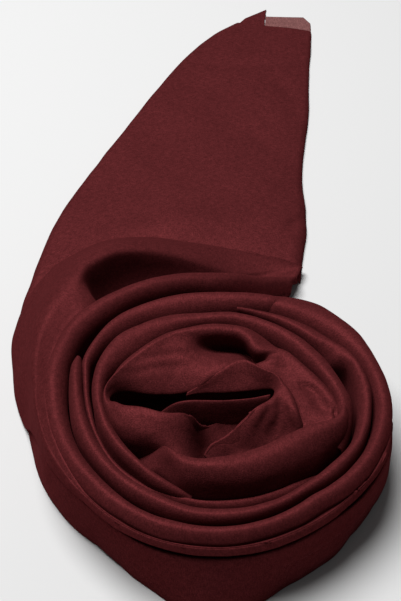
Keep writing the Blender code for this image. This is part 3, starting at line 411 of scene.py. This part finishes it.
# --- the tail -----------------------------------------------------------------------------------
# Sections from under the collar to the far end: where each starts and ends, how far it bends away
# from the rosette in its middle, and its heights at the left, in the middle and at the right.
TailRow = namedtuple("TailRow", "left_x left_y right_x right_y bend side_left middle side_right")
BEND_LEFT = 0.3        # how far a section's middle moves left, as a share of its bend
TAIL_ROWS, TAIL_COLUMNS = 260, 170
TAIL_EDGE = 0.8        # height of its upper side at both edges
TAIL_LOWEST = 0.7
TAIL = [TailRow(*row) for row in (
    (-98.0, 74.0, 46.0, 122.0, 34.0, 4.0, 6.0, 4.0),
    (-103.5, 97.0, 48.5, 143.0, 26.0, 4.5, 11.0, 5.0),
    (-99.0, 123.0, 51.0, 161.0, 16.0, 5.5, 12.5, 5.0),
    (-91.0, 161.0, 51.5, 177.0, 8.0, 6.0, 11.0, 5.0),
    (-79.0, 193.0, 51.0, 198.0, 3.0, 5.5, 9.0, 4.5),
    (-62.0, 228.0, 53.5, 229.0, 0.0, 5.0, 7.0, 4.0),
    (-40.0, 272.0, 58.0, 264.0, 0.0, 4.0, 5.5, 3.5),
    (-19.0, 313.0, 60.0, 300.0, 0.0, 3.0, 4.5, 3.0),
    (0.0, 337.5, 62.0, 327.0, 0.0, 2.5, 3.5, 2.5),
    (15.0, 350.5, 63.0, 341.0, 0.0, 2.0, 2.5, 2.0))]

# The far end's two single layers: the side at the tail, left to right, then the rest of the way round.
FAR_CORNER = ((33.5, 345.0), (63.0, 339.4), (63.2, 351.0), (59.0, 357.5), (34.5, 358.5))
FAR_POINT = ((15.4, 348.8), (33.5, 345.2), (33.8, 358.2), (35.2, 366.0), (21.0, 356.5))

# --- creases ------------------------------------------------------------------------------------
# Each runs along a bow through three places near the cloth and is deepest in its middle. One whose
# depth is negative is a ridge.
Crease = namedtuple("Crease", "start middle end depth width")
CREASES = {
    "cloth_core": (
        Crease((-45, 17, 52), (-30, 20, 53), (-9, 23, 53), 0.6, 2.2),
        Crease((-40, 21.5, 54), (-24, 27, 55), (-8, 28, 53), 0.5, 1.8),
        Crease((-20, 30, 55), (-10, 27, 53), (-2, 22, 51), 0.6, 1.6),
        Crease((36, 10, 53), (41, 9, 52.7), (46, 5, 52.5), 1.6, 1.9),
        Crease((42, 5, 52.4), (46.5, 0, 52.2), (50, -5, 51.8), 1.9, 3.0),
        Crease((52, -1, 52), (53.3, -4, 51.6), (53.3, -7, 51), 2.2, 1.6)),
    "cloth_flap": (
        Crease((23, -1, 57), (22, -9, 55), (17, -17, 51), 0.8, 2.2),
        Crease((27, 1, 57), (28, -7, 54), (25, -16, 50), 1.1, 2.0),
        Crease((30, 0, 57), (33, -8, 55), (34, -15, 51), -0.6, 1.6)),
    "cloth_cover": (
        Crease((-84.6, 2, 33), (-78.5, -14, 40), (-70.2, -29.6, 40.4), -0.35, 1.0),
        Crease((-82, 28, 43), (-78.5, 5.7, 45), (-71, -22, 42.5), -0.35, 1.0)),
    "cloth_skirt": (
        Crease((71.4, -29.5, 19.4), (55, -47.5, 22), (30.3, -64.3, 21.3), -1.2, 3.5),
        Crease((66, -38, 18.5), (52, -50.5, 19), (35.7, -61.8, 18.6), 1.1, 1.7),
        Crease((64, -36, 8), (50, -49, 9), (40, -57, 9), -0.5, 3.0)),
    "cloth_tail": (
        Crease((-12, 306, 3.6), (23, 303, 4.5), (57, 304, 3.3), 0.5, 5.0),
        Crease((38, 292, 4.7), (46, 273, 4.7), (51.5, 253.5, 4.5), 0.9, 6.0),
        Crease((38, 157, 7.3), (45.3, 163.4, 6.5), (51, 173, 3.4), 1.2, 3.5)),
}

# --- materials, light and camera, in metres and watts -------------------------------------------
WINE = (0.078, 0.0136, 0.0150)
SHEER_WINE = (0.20, 0.085, 0.082)
SATIN_SURFACE = {
    "Roughness": 0.54,
    "Metallic": 0.28,
    "Specular IOR Level": 0.0,
    "Specular Tint": (0.20, 0.10, 0.10, 1.0),
    "Sheen Weight": 0.03,
    "Sheen Roughness": 0.45,
    "Sheen Tint": (1.0, 0.18, 0.20, 1.0),
}
FLOOR_GREY = 0.60
FLOOR_HALF_SIDE = 8.0
ROOM_LIGHT = 0.08
LAMP_AT, LAMP_TARGET = (-0.40, 0.36, 1.5), (0, 0.08, 0)
LAMP_SIZE, LAMP_POWER = 1.0, 37.0
CAMERA_AT = (-0.0080, -0.3918, 0.55736)
PITCH = math.radians(48.0)
FOCAL_PX, PHOTO_LONG_SIDE = 1404.0, 601.0
SENSOR_MM = 36.0


# --- curves and tables --------------------------------------------------------------------------
def between(first, second, share):
    """The place that lies this share of the way from the first to the second."""
    return first + (second - first) * share


def smooth(keys, values, at):
    """Monotone cubic through the keys, read at many places at once."""
    x, y = np.asarray(keys, float), np.asarray(values, float)
    slope = np.diff(y) / np.diff(x)
    tangent = np.zeros_like(y)
    tangent[0], tangent[-1] = slope[0], slope[-1]
    before, after = slope[:-1], slope[1:]
    same = before * after > 0
    total = np.where(same, before + after, 1.0)
    tangent[1:-1] = np.where(same, 2 * before * after / total, 0.0)
    at = np.clip(at, x[0], x[-1])
    k = np.clip(np.searchsorted(x, at, side="right") - 1, 0, len(x) - 2)
    width = x[k + 1] - x[k]
    t = (at - x[k]) / width
    return ((2 * t**3 - 3 * t**2 + 1) * y[k] + (t**3 - 2 * t**2 + t) * width * tangent[k]
            + (3 * t**2 - 2 * t**3) * y[k + 1] + (t**3 - t**2) * width * tangent[k + 1])


def column(rows, name, azimuth):
    """One column of a table, read at many azimuths."""
    return smooth([row.azimuth for row in rows], [getattr(row, name) for row in rows], azimuth)


def read(rows, azimuth):
    """A table's row for many azimuths at once: each field holds all the values of its column."""
    kind = type(rows[0])
    return kind(azimuth, *(column(rows, name, azimuth) for name in kind._fields[1:]))


def spline_basis(count, samples, degree=3):
    """Weights of a clamped B-spline's control points at evenly spaced places along it."""
    inner = np.linspace(0, 1, count - degree + 1)
    knots = np.concatenate([np.zeros(degree), inner, np.ones(degree)])
    u = np.linspace(0, 1, samples)
    u[-1] -= 1e-9
    table = np.array([(u >= a) & (u < b) for a, b in zip(knots[:-1], knots[1:])], float)
    for d in range(1, degree + 1):
        higher = np.zeros((len(table) - 1, samples))
        for i in range(len(table) - 1):
            rise, fall = knots[i + d] - knots[i], knots[i + d + 1] - knots[i + 1]
            if rise > 0:
                higher[i] += (u - knots[i]) / rise * table[i]
            if fall > 0:
                higher[i] += (knots[i + d + 1] - u) / fall * table[i + 1]
        table = higher
    return table.T


def natural_spline(knots, values, at):
    """Smoothest curve through the values at the knots, read at many places at once."""
    h = np.diff(knots)
    count = len(knots)
    matrix = np.eye(count)
    rate = np.diff(values, axis=0) / h.reshape(-1, *[1] * (values.ndim - 1))
    right = np.zeros(values.shape)
    right[1:-1] = 6 * np.diff(rate, axis=0)
    for i in range(1, count - 1):
        matrix[i, i - 1:i + 2] = h[i - 1], 2 * (h[i - 1] + h[i]), h[i]
    bend = np.linalg.solve(matrix, right.reshape(count, -1)).reshape(values.shape)
    k = np.clip(np.searchsorted(knots, at, side="right") - 1, 0, count - 2)
    width = h[k].reshape(-1, *[1] * (values.ndim - 1))
    a = (knots[k + 1] - at).reshape(width.shape) / width
    b = 1 - a
    return (a * values[k] + b * values[k + 1]
            + ((a**3 - a) * bend[k] + (b**3 - b) * bend[k + 1]) * width**2 / 6)


def centripetal(points):
    """Knots for a curve through the points that doesn't loop where they lie close together."""
    step = np.linalg.norm(np.diff(points, axis=0), axis=-1)
    return np.concatenate([[0], np.cumsum(np.sqrt(np.maximum(step, 0.05)))])


# --- grids of points ----------------------------------------------------------------------------
def polar_grid(azimuth, radius, height):
    """Points at azimuths, radii and heights."""
    angle = np.radians(azimuth)
    return np.stack([radius * np.cos(angle), radius * np.sin(angle), height], -1)


def loft(azimuth, profile, samples):
    """A band round the rosette: across it, a B-spline rounds off a profile of radii and heights."""
    net = np.stack([polar_grid(azimuth, radius, height) for radius, height in profile], axis=1)
    return np.einsum("cj,rjk->rck", spline_basis(len(profile), samples), net)


def square_to(grid):
    """Vectors at right angles to a grid, to the side that its rows and columns give."""
    return np.cross(np.gradient(grid, axis=0), np.gradient(grid, axis=1))


def normals(grid):
    """Unit normals on a grid's upper side."""
    n = square_to(grid)
    n /= np.maximum(np.linalg.norm(n, axis=2, keepdims=True), 1e-9)
    return -n if n[..., 2].sum() < 0 else n


def distance_along(grid, axis):
    """How far each point lies from the grid's first row or column, measured on the cloth."""
    steps = np.linalg.norm(np.diff(grid, axis=axis), axis=2)
    return np.concatenate([np.zeros_like(steps.take([0], axis)), np.cumsum(steps, axis)], axis)


def waves(grid, wavelength, height, seed):
    """Gentle unevenness of the cloth: a sum of waves in fixed random directions."""
    rng = np.random.default_rng(seed)
    total = np.zeros(grid.shape[:2])
    for _ in range(WAVES):
        direction = rng.normal(size=3)
        direction *= 2 * math.pi / wavelength / np.linalg.norm(direction) * rng.uniform(0.6, 1.6)
        total += np.sin(grid @ direction + rng.uniform(0, 2 * math.pi))
    return total * height / math.sqrt(WAVES)


def crease_depth(grid, crease):
    """How far a crease moves each point: most in its middle, less to its sides and ends.

    Each place along the bow is first brought to the nearest point of the cloth.
    """
    start, middle, end = (np.array(place, float) for place in crease[:3])
    bend = 2 * middle - (start + end) / 2
    points = grid.reshape(-1, 3)
    nearest = np.full(len(points), np.inf)
    where = np.zeros(len(points))
    for share in np.linspace(0, 1, CREASE_STEPS):
        on_bow = (1 - share)**2 * start + 2 * share * (1 - share) * bend + share**2 * end
        on_cloth = points[np.argmin(((points - on_bow)**2).sum(1))]
        distance = ((points - on_cloth)**2).sum(1)
        where = np.where(distance < nearest, share, where)
        nearest = np.minimum(distance, nearest)
    fade = np.sin(math.pi * np.clip(where, 0.03, 0.97)) ** 0.6
    return (-crease.depth * fade * np.exp(-nearest / crease.width**2)).reshape(grid.shape[:2])


def creased(name, grid, wavelength, height, seed):
    """The grid with two sizes of waves and the piece's creases."""
    move = waves(grid, wavelength, height, seed) + waves(grid, wavelength / 3, height / 5, seed + 50)
    for crease in CREASES.get(name, ()):
        move += crease_depth(grid, crease)
    return grid + normals(grid) * move[..., None]


def cloth(name, grid, material, ply=PLY):
    """A sheet of cloth through a grid of points, with a thickness and its own weave coordinates."""
    rows, columns = grid.shape[:2]
    index = np.arange(rows * columns).reshape(rows, columns)
    faces = np.stack([index[:-1, :-1], index[1:, :-1], index[1:, 1:], index[:-1, 1:]], -1)
    faces = faces.reshape(-1, 4)
    if square_to(grid)[..., 2].sum() < 0:
        faces = faces[:, ::-1]
    mesh = bpy.data.meshes.new(name)
    mesh.from_pydata((grid.reshape(-1, 3) * MM).tolist(), [], faces.tolist())

    along = np.repeat(distance_along(grid, 0).mean(axis=1), columns)
    across = distance_along(grid, 1).ravel()
    corner = np.zeros(len(mesh.loops), np.int32)
    mesh.loops.foreach_get("vertex_index", corner)
    weave = np.stack([along[corner], across[corner]], -1) * MM
    layer = mesh.uv_layers.new(name="weave")
    layer.data.foreach_set("uv", weave.astype(np.float32).ravel())

    mesh.shade_smooth()
    mesh.materials.append(material)
    piece = bpy.data.objects.new(name, mesh)
    bpy.context.collection.objects.link(piece)
    shell = piece.modifiers.new("ply", "SOLIDIFY")
    shell.thickness = ply * MM
    shell.offset = -1.0
    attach(piece, "root")
    return piece


# --- materials ----------------------------------------------------------------------------------
def noise(tree, source, scale, detail, stretch=(1.0, 1.0, 1.0)):
    """A noise over the source's coordinates, which can be stretched first."""
    mapping = tree.nodes.new("ShaderNodeMapping")
    mapping.inputs["Scale"].default_value = stretch
    tree.links.new(source, mapping.inputs["Vector"])
    texture = tree.nodes.new("ShaderNodeTexNoise")
    texture.inputs["Scale"].default_value = scale
    texture.inputs["Detail"].default_value = detail
    tree.links.new(mapping.outputs["Vector"], texture.inputs["Vector"])
    return texture.outputs["Fac"]


def spread(tree, source, low, high):
    """A noise, which lies mostly from 0.3 to 0.7, spread from low to high."""
    ramp = tree.nodes.new("ShaderNodeMapRange")
    ramp.inputs["From Min"].default_value = 0.3
    ramp.inputs["From Max"].default_value = 0.7
    ramp.inputs["To Min"].default_value = low
    ramp.inputs["To Max"].default_value = high
    tree.links.new(source, ramp.inputs["Value"])
    return ramp.outputs["Result"]


def times(tree, first, second):
    product = tree.nodes.new("ShaderNodeMath")
    product.operation = "MULTIPLY"
    tree.links.new(first, product.inputs[0])
    tree.links.new(second, product.inputs[1])
    return product.outputs[0]


def bump(tree, source, strength, distance, below=None):
    """Fine relief, on top of another bump where one is given."""
    relief = tree.nodes.new("ShaderNodeBump")
    relief.inputs["Strength"].default_value = strength
    relief.inputs["Distance"].default_value = distance
    tree.links.new(source, relief.inputs["Height"])
    if below is not None:
        tree.links.new(below, relief.inputs["Normal"])
    return relief.outputs["Normal"]


def satin(name, colour, see_through=0.0):
    """Satin with a light nap: mottled, with long floats that show as fine cross lines."""
    material = bpy.data.materials.new(name)
    material.use_nodes = True
    tree = material.node_tree
    surface = tree.nodes["Principled BSDF"]
    for quality, value in SATIN_SURFACE.items():
        surface.inputs[quality].default_value = value
    surface.inputs["Alpha"].default_value = 1.0 - see_through

    place = tree.nodes.new("ShaderNodeTexCoord").outputs["Object"]
    weave = tree.nodes.new("ShaderNodeUVMap")
    weave.uv_map = "weave"
    cloud = noise(tree, place, scale=55.0, detail=2.0)
    mottle = noise(tree, place, scale=420.0, detail=3.0)
    fleck = noise(tree, place, scale=1500.0, detail=2.0)
    floats = noise(tree, weave.outputs["UV"], scale=1.0, detail=2.0, stretch=(2400.0, 320.0, 1.0))

    broad = times(tree, spread(tree, cloud, 0.96, 1.04), spread(tree, mottle, 0.89, 1.11))
    fine = times(tree, spread(tree, fleck, 0.76, 1.24), spread(tree, floats, 0.82, 1.18))
    tint = tree.nodes.new("ShaderNodeMix")
    tint.data_type = "RGBA"
    tint.blend_type = "MULTIPLY"
    tint.inputs["Factor"].default_value = 1.0
    tint.inputs["A"].default_value = (*colour, 1.0)
    tree.links.new(times(tree, broad, fine), tint.inputs["B"])
    tree.links.new(tint.outputs["Result"], surface.inputs["Base Color"])

    nap = bump(tree, mottle, strength=0.22, distance=0.0006)
    nap = bump(tree, fleck, strength=0.50, distance=0.0003, below=nap)
    nap = bump(tree, floats, strength=0.30, distance=0.00015, below=nap)
    tree.links.new(nap, surface.inputs["Normal"])
    return material


# --- the turns ----------------------------------------------------------------------------------
def covers(rows, azimuth):
    """Where a turn passes the azimuth."""
    return (azimuth >= rows[0].azimuth) & (azimuth <= rows[-1].azimuth)


def neighbour(own, azimuth, side):
    """The nearest wall of another turn outside (side 1) or inside (side -1) of a turn."""
    middle = (column(own, "outer", azimuth) + column(own, "inner", azimuth)) / 2
    facing = "inner" if side > 0 else "outer"
    nearest = np.full(azimuth.shape, np.inf)
    for rows in (OUTER_TURN, INNER_WRAP, MIDDLE_TURN, INNER_TURN):
        for shift in (-360, 0, 360):
            at = azimuth + shift
            away = side * (column(rows, facing, at) - middle)
            there = covers(rows, at) & (away > 0)
            nearest = np.where(there, np.minimum(nearest, away), nearest)
    return middle + side * nearest


def foot_spread(own, azimuth, side):
    """How far a wall's foot leans out towards the next turn: half the way, up to a limit."""
    wall = column(own, "outer" if side > 0 else "inner", azimuth)
    gap = side * (neighbour(own, azimuth, side) - wall)
    return np.where(np.isfinite(gap), np.clip(gap / 2 - WALL_GAP, 0.0, FOOT_SPREAD), 0.0)


def lean(height):
    """Share of a wall's lean at a height: none above the lean band, all of it below."""
    share = np.clip((GROOVE_FLOOR + LEAN_BAND / 2 - height) / LEAN_BAND, 0, 1)
    return share * share * (3 - 2 * share)


def side_height(width, top):
    """How far down a ridge's rounded top goes on a side of this width."""
    return np.minimum(np.minimum(STEEPNESS * width, DEEPEST_SIDE), 0.5 * top)


def flank(azimuth, height):
    """Radius of the outer turn's outer side at a height."""
    ridge = read(OUTER_TURN, azimuth)
    width = ridge.outer - ridge.crest
    depth = side_height(width, ridge.top)
    up = np.clip((height - (ridge.top - depth)) / depth, 0, 1)
    return ridge.crest + width * np.sqrt(1 - up * up)


def turn_grid(rows, first, last):
    """A ridge that stands on edge: up its inner wall, over its round top, down its outer wall."""
    azimuth = np.linspace(first, last, int((last - first) / DEGREES_A_ROW) + 1)[:, None]
    ridge = read(rows, azimuth)
    arch = np.linspace(math.pi, 0, POINTS_OVER_A_RIDGE)[None, :]
    width = np.where(arch > math.pi / 2, ridge.crest - ridge.inner, ridge.outer - ridge.crest)
    over_r = ridge.crest + width * np.cos(arch)
    over_z = ridge.top - side_height(width, ridge.top) * (1 - np.sin(arch))
    up_share = np.linspace(0, 1, POINTS_UP_A_WALL, endpoint=False)[None, :]
    up_z = between(FOOT, over_z[:, :1], up_share)
    down_z = between(FOOT, over_z[:, -1:], up_share)
    up_r = ridge.inner - foot_spread(rows, azimuth, -1) * lean(up_z)
    down_r = ridge.outer + foot_spread(rows, azimuth, 1) * lean(down_z)
    radius = np.concatenate([up_r, over_r, down_r[:, ::-1]], axis=1)
    height = np.concatenate([up_z, over_z, down_z[:, ::-1]], axis=1)
    return polar_grid(azimuth + 0 * radius, radius, height)


def build_turns(material):
    """The four turns: the node, its table, its first and last azimuth, and the seed of its waves."""
    plan = (
        ("outer_turn", OUTER_TURN, 70.0, 433.0, 11),
        ("inner_wrap", INNER_WRAP, 425.0, 690.0, 12),
        ("middle_turn", MIDDLE_TURN, 152.0, 441.0, 13),
        ("inner_turn", INNER_TURN, -20.0, 255.0, 14),
    )
    for node, rows, first, last, seed in plan:
        name = "cloth_" + node
        grid = creased(name, turn_grid(rows, first, last), wavelength=40.0, height=0.22, seed=seed)
        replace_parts(cloth(name, grid, material), node)


def build_bed(material):
    """The hidden layers under the heap, as one cloth that reaches to the innermost walls."""
    azimuth = np.arange(0.0, 361.0, 4.0)[:, None]
    rim = np.full(azimuth.shape, np.inf)
    for rows, shift in ((INNER_TURN, 0), (MIDDLE_TURN, 0), (INNER_WRAP, 360)):
        at = azimuth + shift
        rim = np.where(covers(rows, at), np.minimum(rim, column(rows, "inner", at)), rim)
    radius = (rim - BED_GAP) * np.linspace(0.02, 1, 40)[None, :]
    grid = polar_grid(azimuth + 0 * radius, radius, BED + 0 * radius)
    cloth("cloth_bed", creased("cloth_bed", grid, wavelength=24.0, height=1.2, seed=16), material)


# --- the cloth round the turns ------------------------------------------------------------------
def build_cover(material):
    """The cloth that climbs from the tail, folds over and goes on round the front as a ledge."""
    azimuth = np.arange(70.0, 362.0, DEGREES_A_ROW)
    row = read(COVER, azimuth)
    side = flank(azimuth, row.rim)
    lip = between(row.dip, row.crest, 0.75), between(row.dip_z, row.crest_z, 0.8)
    shoulder = between(row.crest, row.slope, 0.35), row.crest_z
    edge = row.edge, row.edge_z    # taken twice, which makes the turn round it sharper
    under = np.maximum(row.edge_z - HEM_FALL, HEM_LOWEST)
    profile = (
        (side - ROOT_DEPTH, row.root), (side + COVER_GAP, row.rim),
        (row.dip, row.dip_z), lip, (row.crest, row.crest_z), shoulder, (row.slope, row.slope_z),
        edge, edge, (row.edge - HEM_FALL, under), (row.edge - HEM_BACK, under))
    grid = loft(azimuth, profile, samples=100)
    grid = creased("cloth_cover", grid, wavelength=40.0, height=0.25, seed=21)
    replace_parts(cloth("cloth_cover", grid, material), "collar", "hem_ledge")


def build_skirt(material):
    """The band's lower part: out from under the ledge over a soft shoulder, and down to the table."""
    azimuth = np.arange(160.0, 370.0, DEGREES_A_ROW)
    row = read(SKIRT, azimuth)
    wall = column(OUTER_TURN, "outer", azimuth)
    profile = [
        (wall - 0.8, row.shoulder_z - 3.2),
        (wall + COVER_GAP, row.shoulder_z - 1.4),
        (row.shoulder - 0.5, row.shoulder_z + 0.5),
        (row.shoulder + 0.8, row.shoulder_z - 0.9)]
    for share in SLOPE_SHARES:
        radius = between(row.shoulder, row.reach, share) + row.swell
        profile.append((radius, between(row.shoulder_z, SKIRT_FOOT, share)))
    profile.append((row.reach, np.full(azimuth.shape, SKIRT_FOOT)))
    grid = loft(azimuth, profile, samples=64)
    grid = creased("cloth_skirt", grid, wavelength=45.0, height=0.3, seed=22)
    grid[..., 2] = np.maximum(grid[..., 2], SKIRT_FOOT)
    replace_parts(cloth("cloth_skirt", grid, material), "skirt")


# --- the heap -----------------------------------------------------------------------------------
def flat_unit(vectors):
    """Directions in plan."""
    plan = vectors * (1, 1, 0)
    return plan / np.maximum(np.linalg.norm(plan, axis=-1, keepdims=True), 1e-6)


def beside(line, direction, away, drop):
    """A line of places moved away in plan and down."""
    return line + direction * away - (0, 0, drop)


def on_bed(line, direction, away):
    """A line of places moved away in plan and down to just above the bed."""
    return (line + direction * away) * (1, 1, 0) + (0, 0, BED + 1.0)


def fold_grid(rows, steps_along=8, points_across=84):
    """A fold of the heap: smooth along its lines, and from its hidden inner side to its foot."""
    lines = np.array([row[:-1] for row in rows], float)
    tuck = [row.tuck for row in rows]
    knots = np.concatenate([[0], np.cumsum(np.linalg.norm(np.diff(lines, axis=0), axis=2).mean(1))])
    fine = np.linspace(0, knots[-1], (len(rows) - 1) * steps_along + 1)
    lines = natural_spline(knots, lines, fine)
    tuck = smooth(knots, tuck, fine)[:, None]
    lip, belly, _, _, crest, far = lines.transpose(1, 0, 2)
    inward, outward = flat_unit(belly - lip), flat_unit(far - crest)
    inner_side = [
        on_bed(lip, inward, tuck + 1.0),
        beside(lip, inward, tuck, drop=6.0),
        beside(lip, inward, 0.35 * tuck, drop=1.6)]
    outer_side = [beside(far, outward, 0.5, drop=4.0), on_bed(far, outward, 0.6)]
    grid = []
    for section in np.concatenate([np.stack(inner_side, 1), lines, np.stack(outer_side, 1)], 1):
        stations = centripetal(section)
        grid.append(natural_spline(stations, section, np.linspace(0, stations[-1], points_across)))
    return np.array(grid)


def build_heap(material):
    """The folds of the heap: the piece, its table, the nodes it stands for and its waves' seed."""
    plan = (
        ("cloth_core", CORE, ("upper_petal", "left_petal", "right_fold"), 31),
        ("cloth_flap", FLAP, ("inner_petal", "right_flap"), 32),
        ("cloth_roll", ROLL, ("front_roll",), 33),
        ("cloth_strip", STRIP, (), 34),
    )
    for name, rows, nodes, seed in plan:
        grid = creased(name, fold_grid(rows), wavelength=20.0, height=0.15, seed=seed)
        piece = cloth(name, grid, material)
        if nodes:
            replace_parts(piece, *nodes)


# --- the tail -----------------------------------------------------------------------------------
def build_tail(material):
    """Folded cloth that lies flat: highest along its middle, with a rounded fold on each side."""
    stations = np.arange(len(TAIL))
    fine = np.linspace(0, len(TAIL) - 1, TAIL_ROWS)
    row = TailRow(*(smooth(stations, values, fine)[:, None] for values in zip(*TAIL)))
    t = np.linspace(0, 1, TAIL_COLUMNS)[None, :]
    arch = np.sin(math.pi * t)
    x = between(row.left_x, row.right_x, t) - row.bend * BEND_LEFT * arch
    y = between(row.left_y, row.right_y, t) + row.bend * arch
    side = between(row.side_left, row.side_right, t)
    z = between(side, row.middle, arch ** 0.8)
    from_side = np.minimum(t, 1 - t) * np.hypot(row.right_x - row.left_x, row.right_y - row.left_y)
    rounding = np.sqrt(np.clip(1 - np.clip(1 - from_side / side, 0, 1) ** 2, 0, 1))
    grid = np.stack([x, y, between(TAIL_EDGE, z, rounding)], -1)
    grid = creased("cloth_tail", grid, wavelength=60.0, height=0.4, seed=41)
    grid[..., 2] = np.maximum(grid[..., 2], TAIL_LOWEST)
    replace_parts(cloth("cloth_tail", grid, material), "tail")


def plate_grid(outline, height=0.9):
    """A single layer, flat, spanned between its side at the tail and the rest of its outline."""
    near = np.array(outline[:2], float)
    far = np.array(outline[:1:-1], float)
    t = np.linspace(0, 1, 30)
    bottom = between(near[0], near[1], t[:, None])
    lengths = np.concatenate([[0], np.cumsum(np.linalg.norm(np.diff(far, axis=0), axis=1))])
    top = np.stack([np.interp(t * lengths[-1], lengths, far[:, k]) for k in range(2)], -1)
    plan = between(bottom[:, None], top[:, None], np.linspace(0, 1, 24)[None, :, None])
    return np.concatenate([plan, np.full(plan.shape[:2] + (1,), height)], -1)


def build_far_end(material, sheer):
    """Where the tail's folded cloth ends: one sheer layer, and a small point beside it."""
    corner = creased("cloth_corner", plate_grid(FAR_CORNER), wavelength=30.0, height=0.08, seed=51)
    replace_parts(cloth("cloth_corner", corner, sheer, CORNER_PLY), "tail_corner")
    point = creased("cloth_point", plate_grid(FAR_POINT), wavelength=30.0, height=0.08, seed=52)
    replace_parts(cloth("cloth_point", point, material, POINT_PLY), "tail_point")


# --- floor, light and camera --------------------------------------------------------------------
def build_camera():
    """Looks along +Y and down, as the photo was taken."""
    camera = bpy.data.cameras.new("camera")
    camera.sensor_width = SENSOR_MM
    camera.lens = SENSOR_MM * FOCAL_PX / PHOTO_LONG_SIDE
    camera.clip_start, camera.clip_end = 0.01, 20.0
    rig = bpy.data.objects.new("camera", camera)
    right = Vector((1, 0, 0))
    up = Vector((0, math.sin(PITCH), math.cos(PITCH)))
    rotation = Matrix((right, up, right.cross(up))).transposed().to_4x4()
    rig.matrix_world = Matrix.Translation(CAMERA_AT) @ rotation
    bpy.context.collection.objects.link(rig)
    bpy.context.scene.camera = rig


def build_floor():
    s = FLOOR_HALF_SIDE
    mesh = bpy.data.meshes.new("floor")
    mesh.from_pydata([(-s, -s, 0), (s, -s, 0), (s, s, 0), (-s, s, 0)], [], [(0, 1, 2, 3)])
    material = bpy.data.materials.new("floor")
    material.use_nodes = True
    surface = material.node_tree.nodes["Principled BSDF"]
    surface.inputs["Base Color"].default_value = (FLOOR_GREY, FLOOR_GREY, FLOOR_GREY, 1.0)
    surface.inputs["Roughness"].default_value = 0.9
    mesh.materials.append(material)
    floor = bpy.data.objects.new("floor", mesh)
    bpy.context.collection.objects.link(floor)


def build_light():
    """One large lamp, high up at the left behind the rosette, and a little light from all round."""
    world = bpy.data.worlds.new("studio")
    world.use_nodes = True
    room = world.node_tree.nodes["Background"]
    room.inputs["Color"].default_value = (1, 1, 1, 1)
    room.inputs["Strength"].default_value = ROOM_LIGHT
    bpy.context.scene.world = world
    light = bpy.data.lights.new("key", "AREA")
    light.shape = "DISK"
    light.size = LAMP_SIZE
    light.energy = LAMP_POWER
    lamp = bpy.data.objects.new("key", light)
    lamp.location = LAMP_AT
    lamp.rotation_euler = (Vector(LAMP_TARGET) - Vector(LAMP_AT)).to_track_quat("-Z", "Y").to_euler()
    bpy.context.collection.objects.link(lamp)
    bpy.context.scene.view_settings.view_transform = "Standard"


def build_scene():
    wine = satin("satin", WINE)
    sheer = satin("sheer_layer", SHEER_WINE, see_through=0.12)
    build_turns(wine)
    build_bed(wine)
    build_cover(wine)
    build_skirt(wine)
    build_heap(wine)
    build_tail(wine)
    build_far_end(wine, sheer)
    build_floor()
    build_light()
    build_camera()


build_scene()
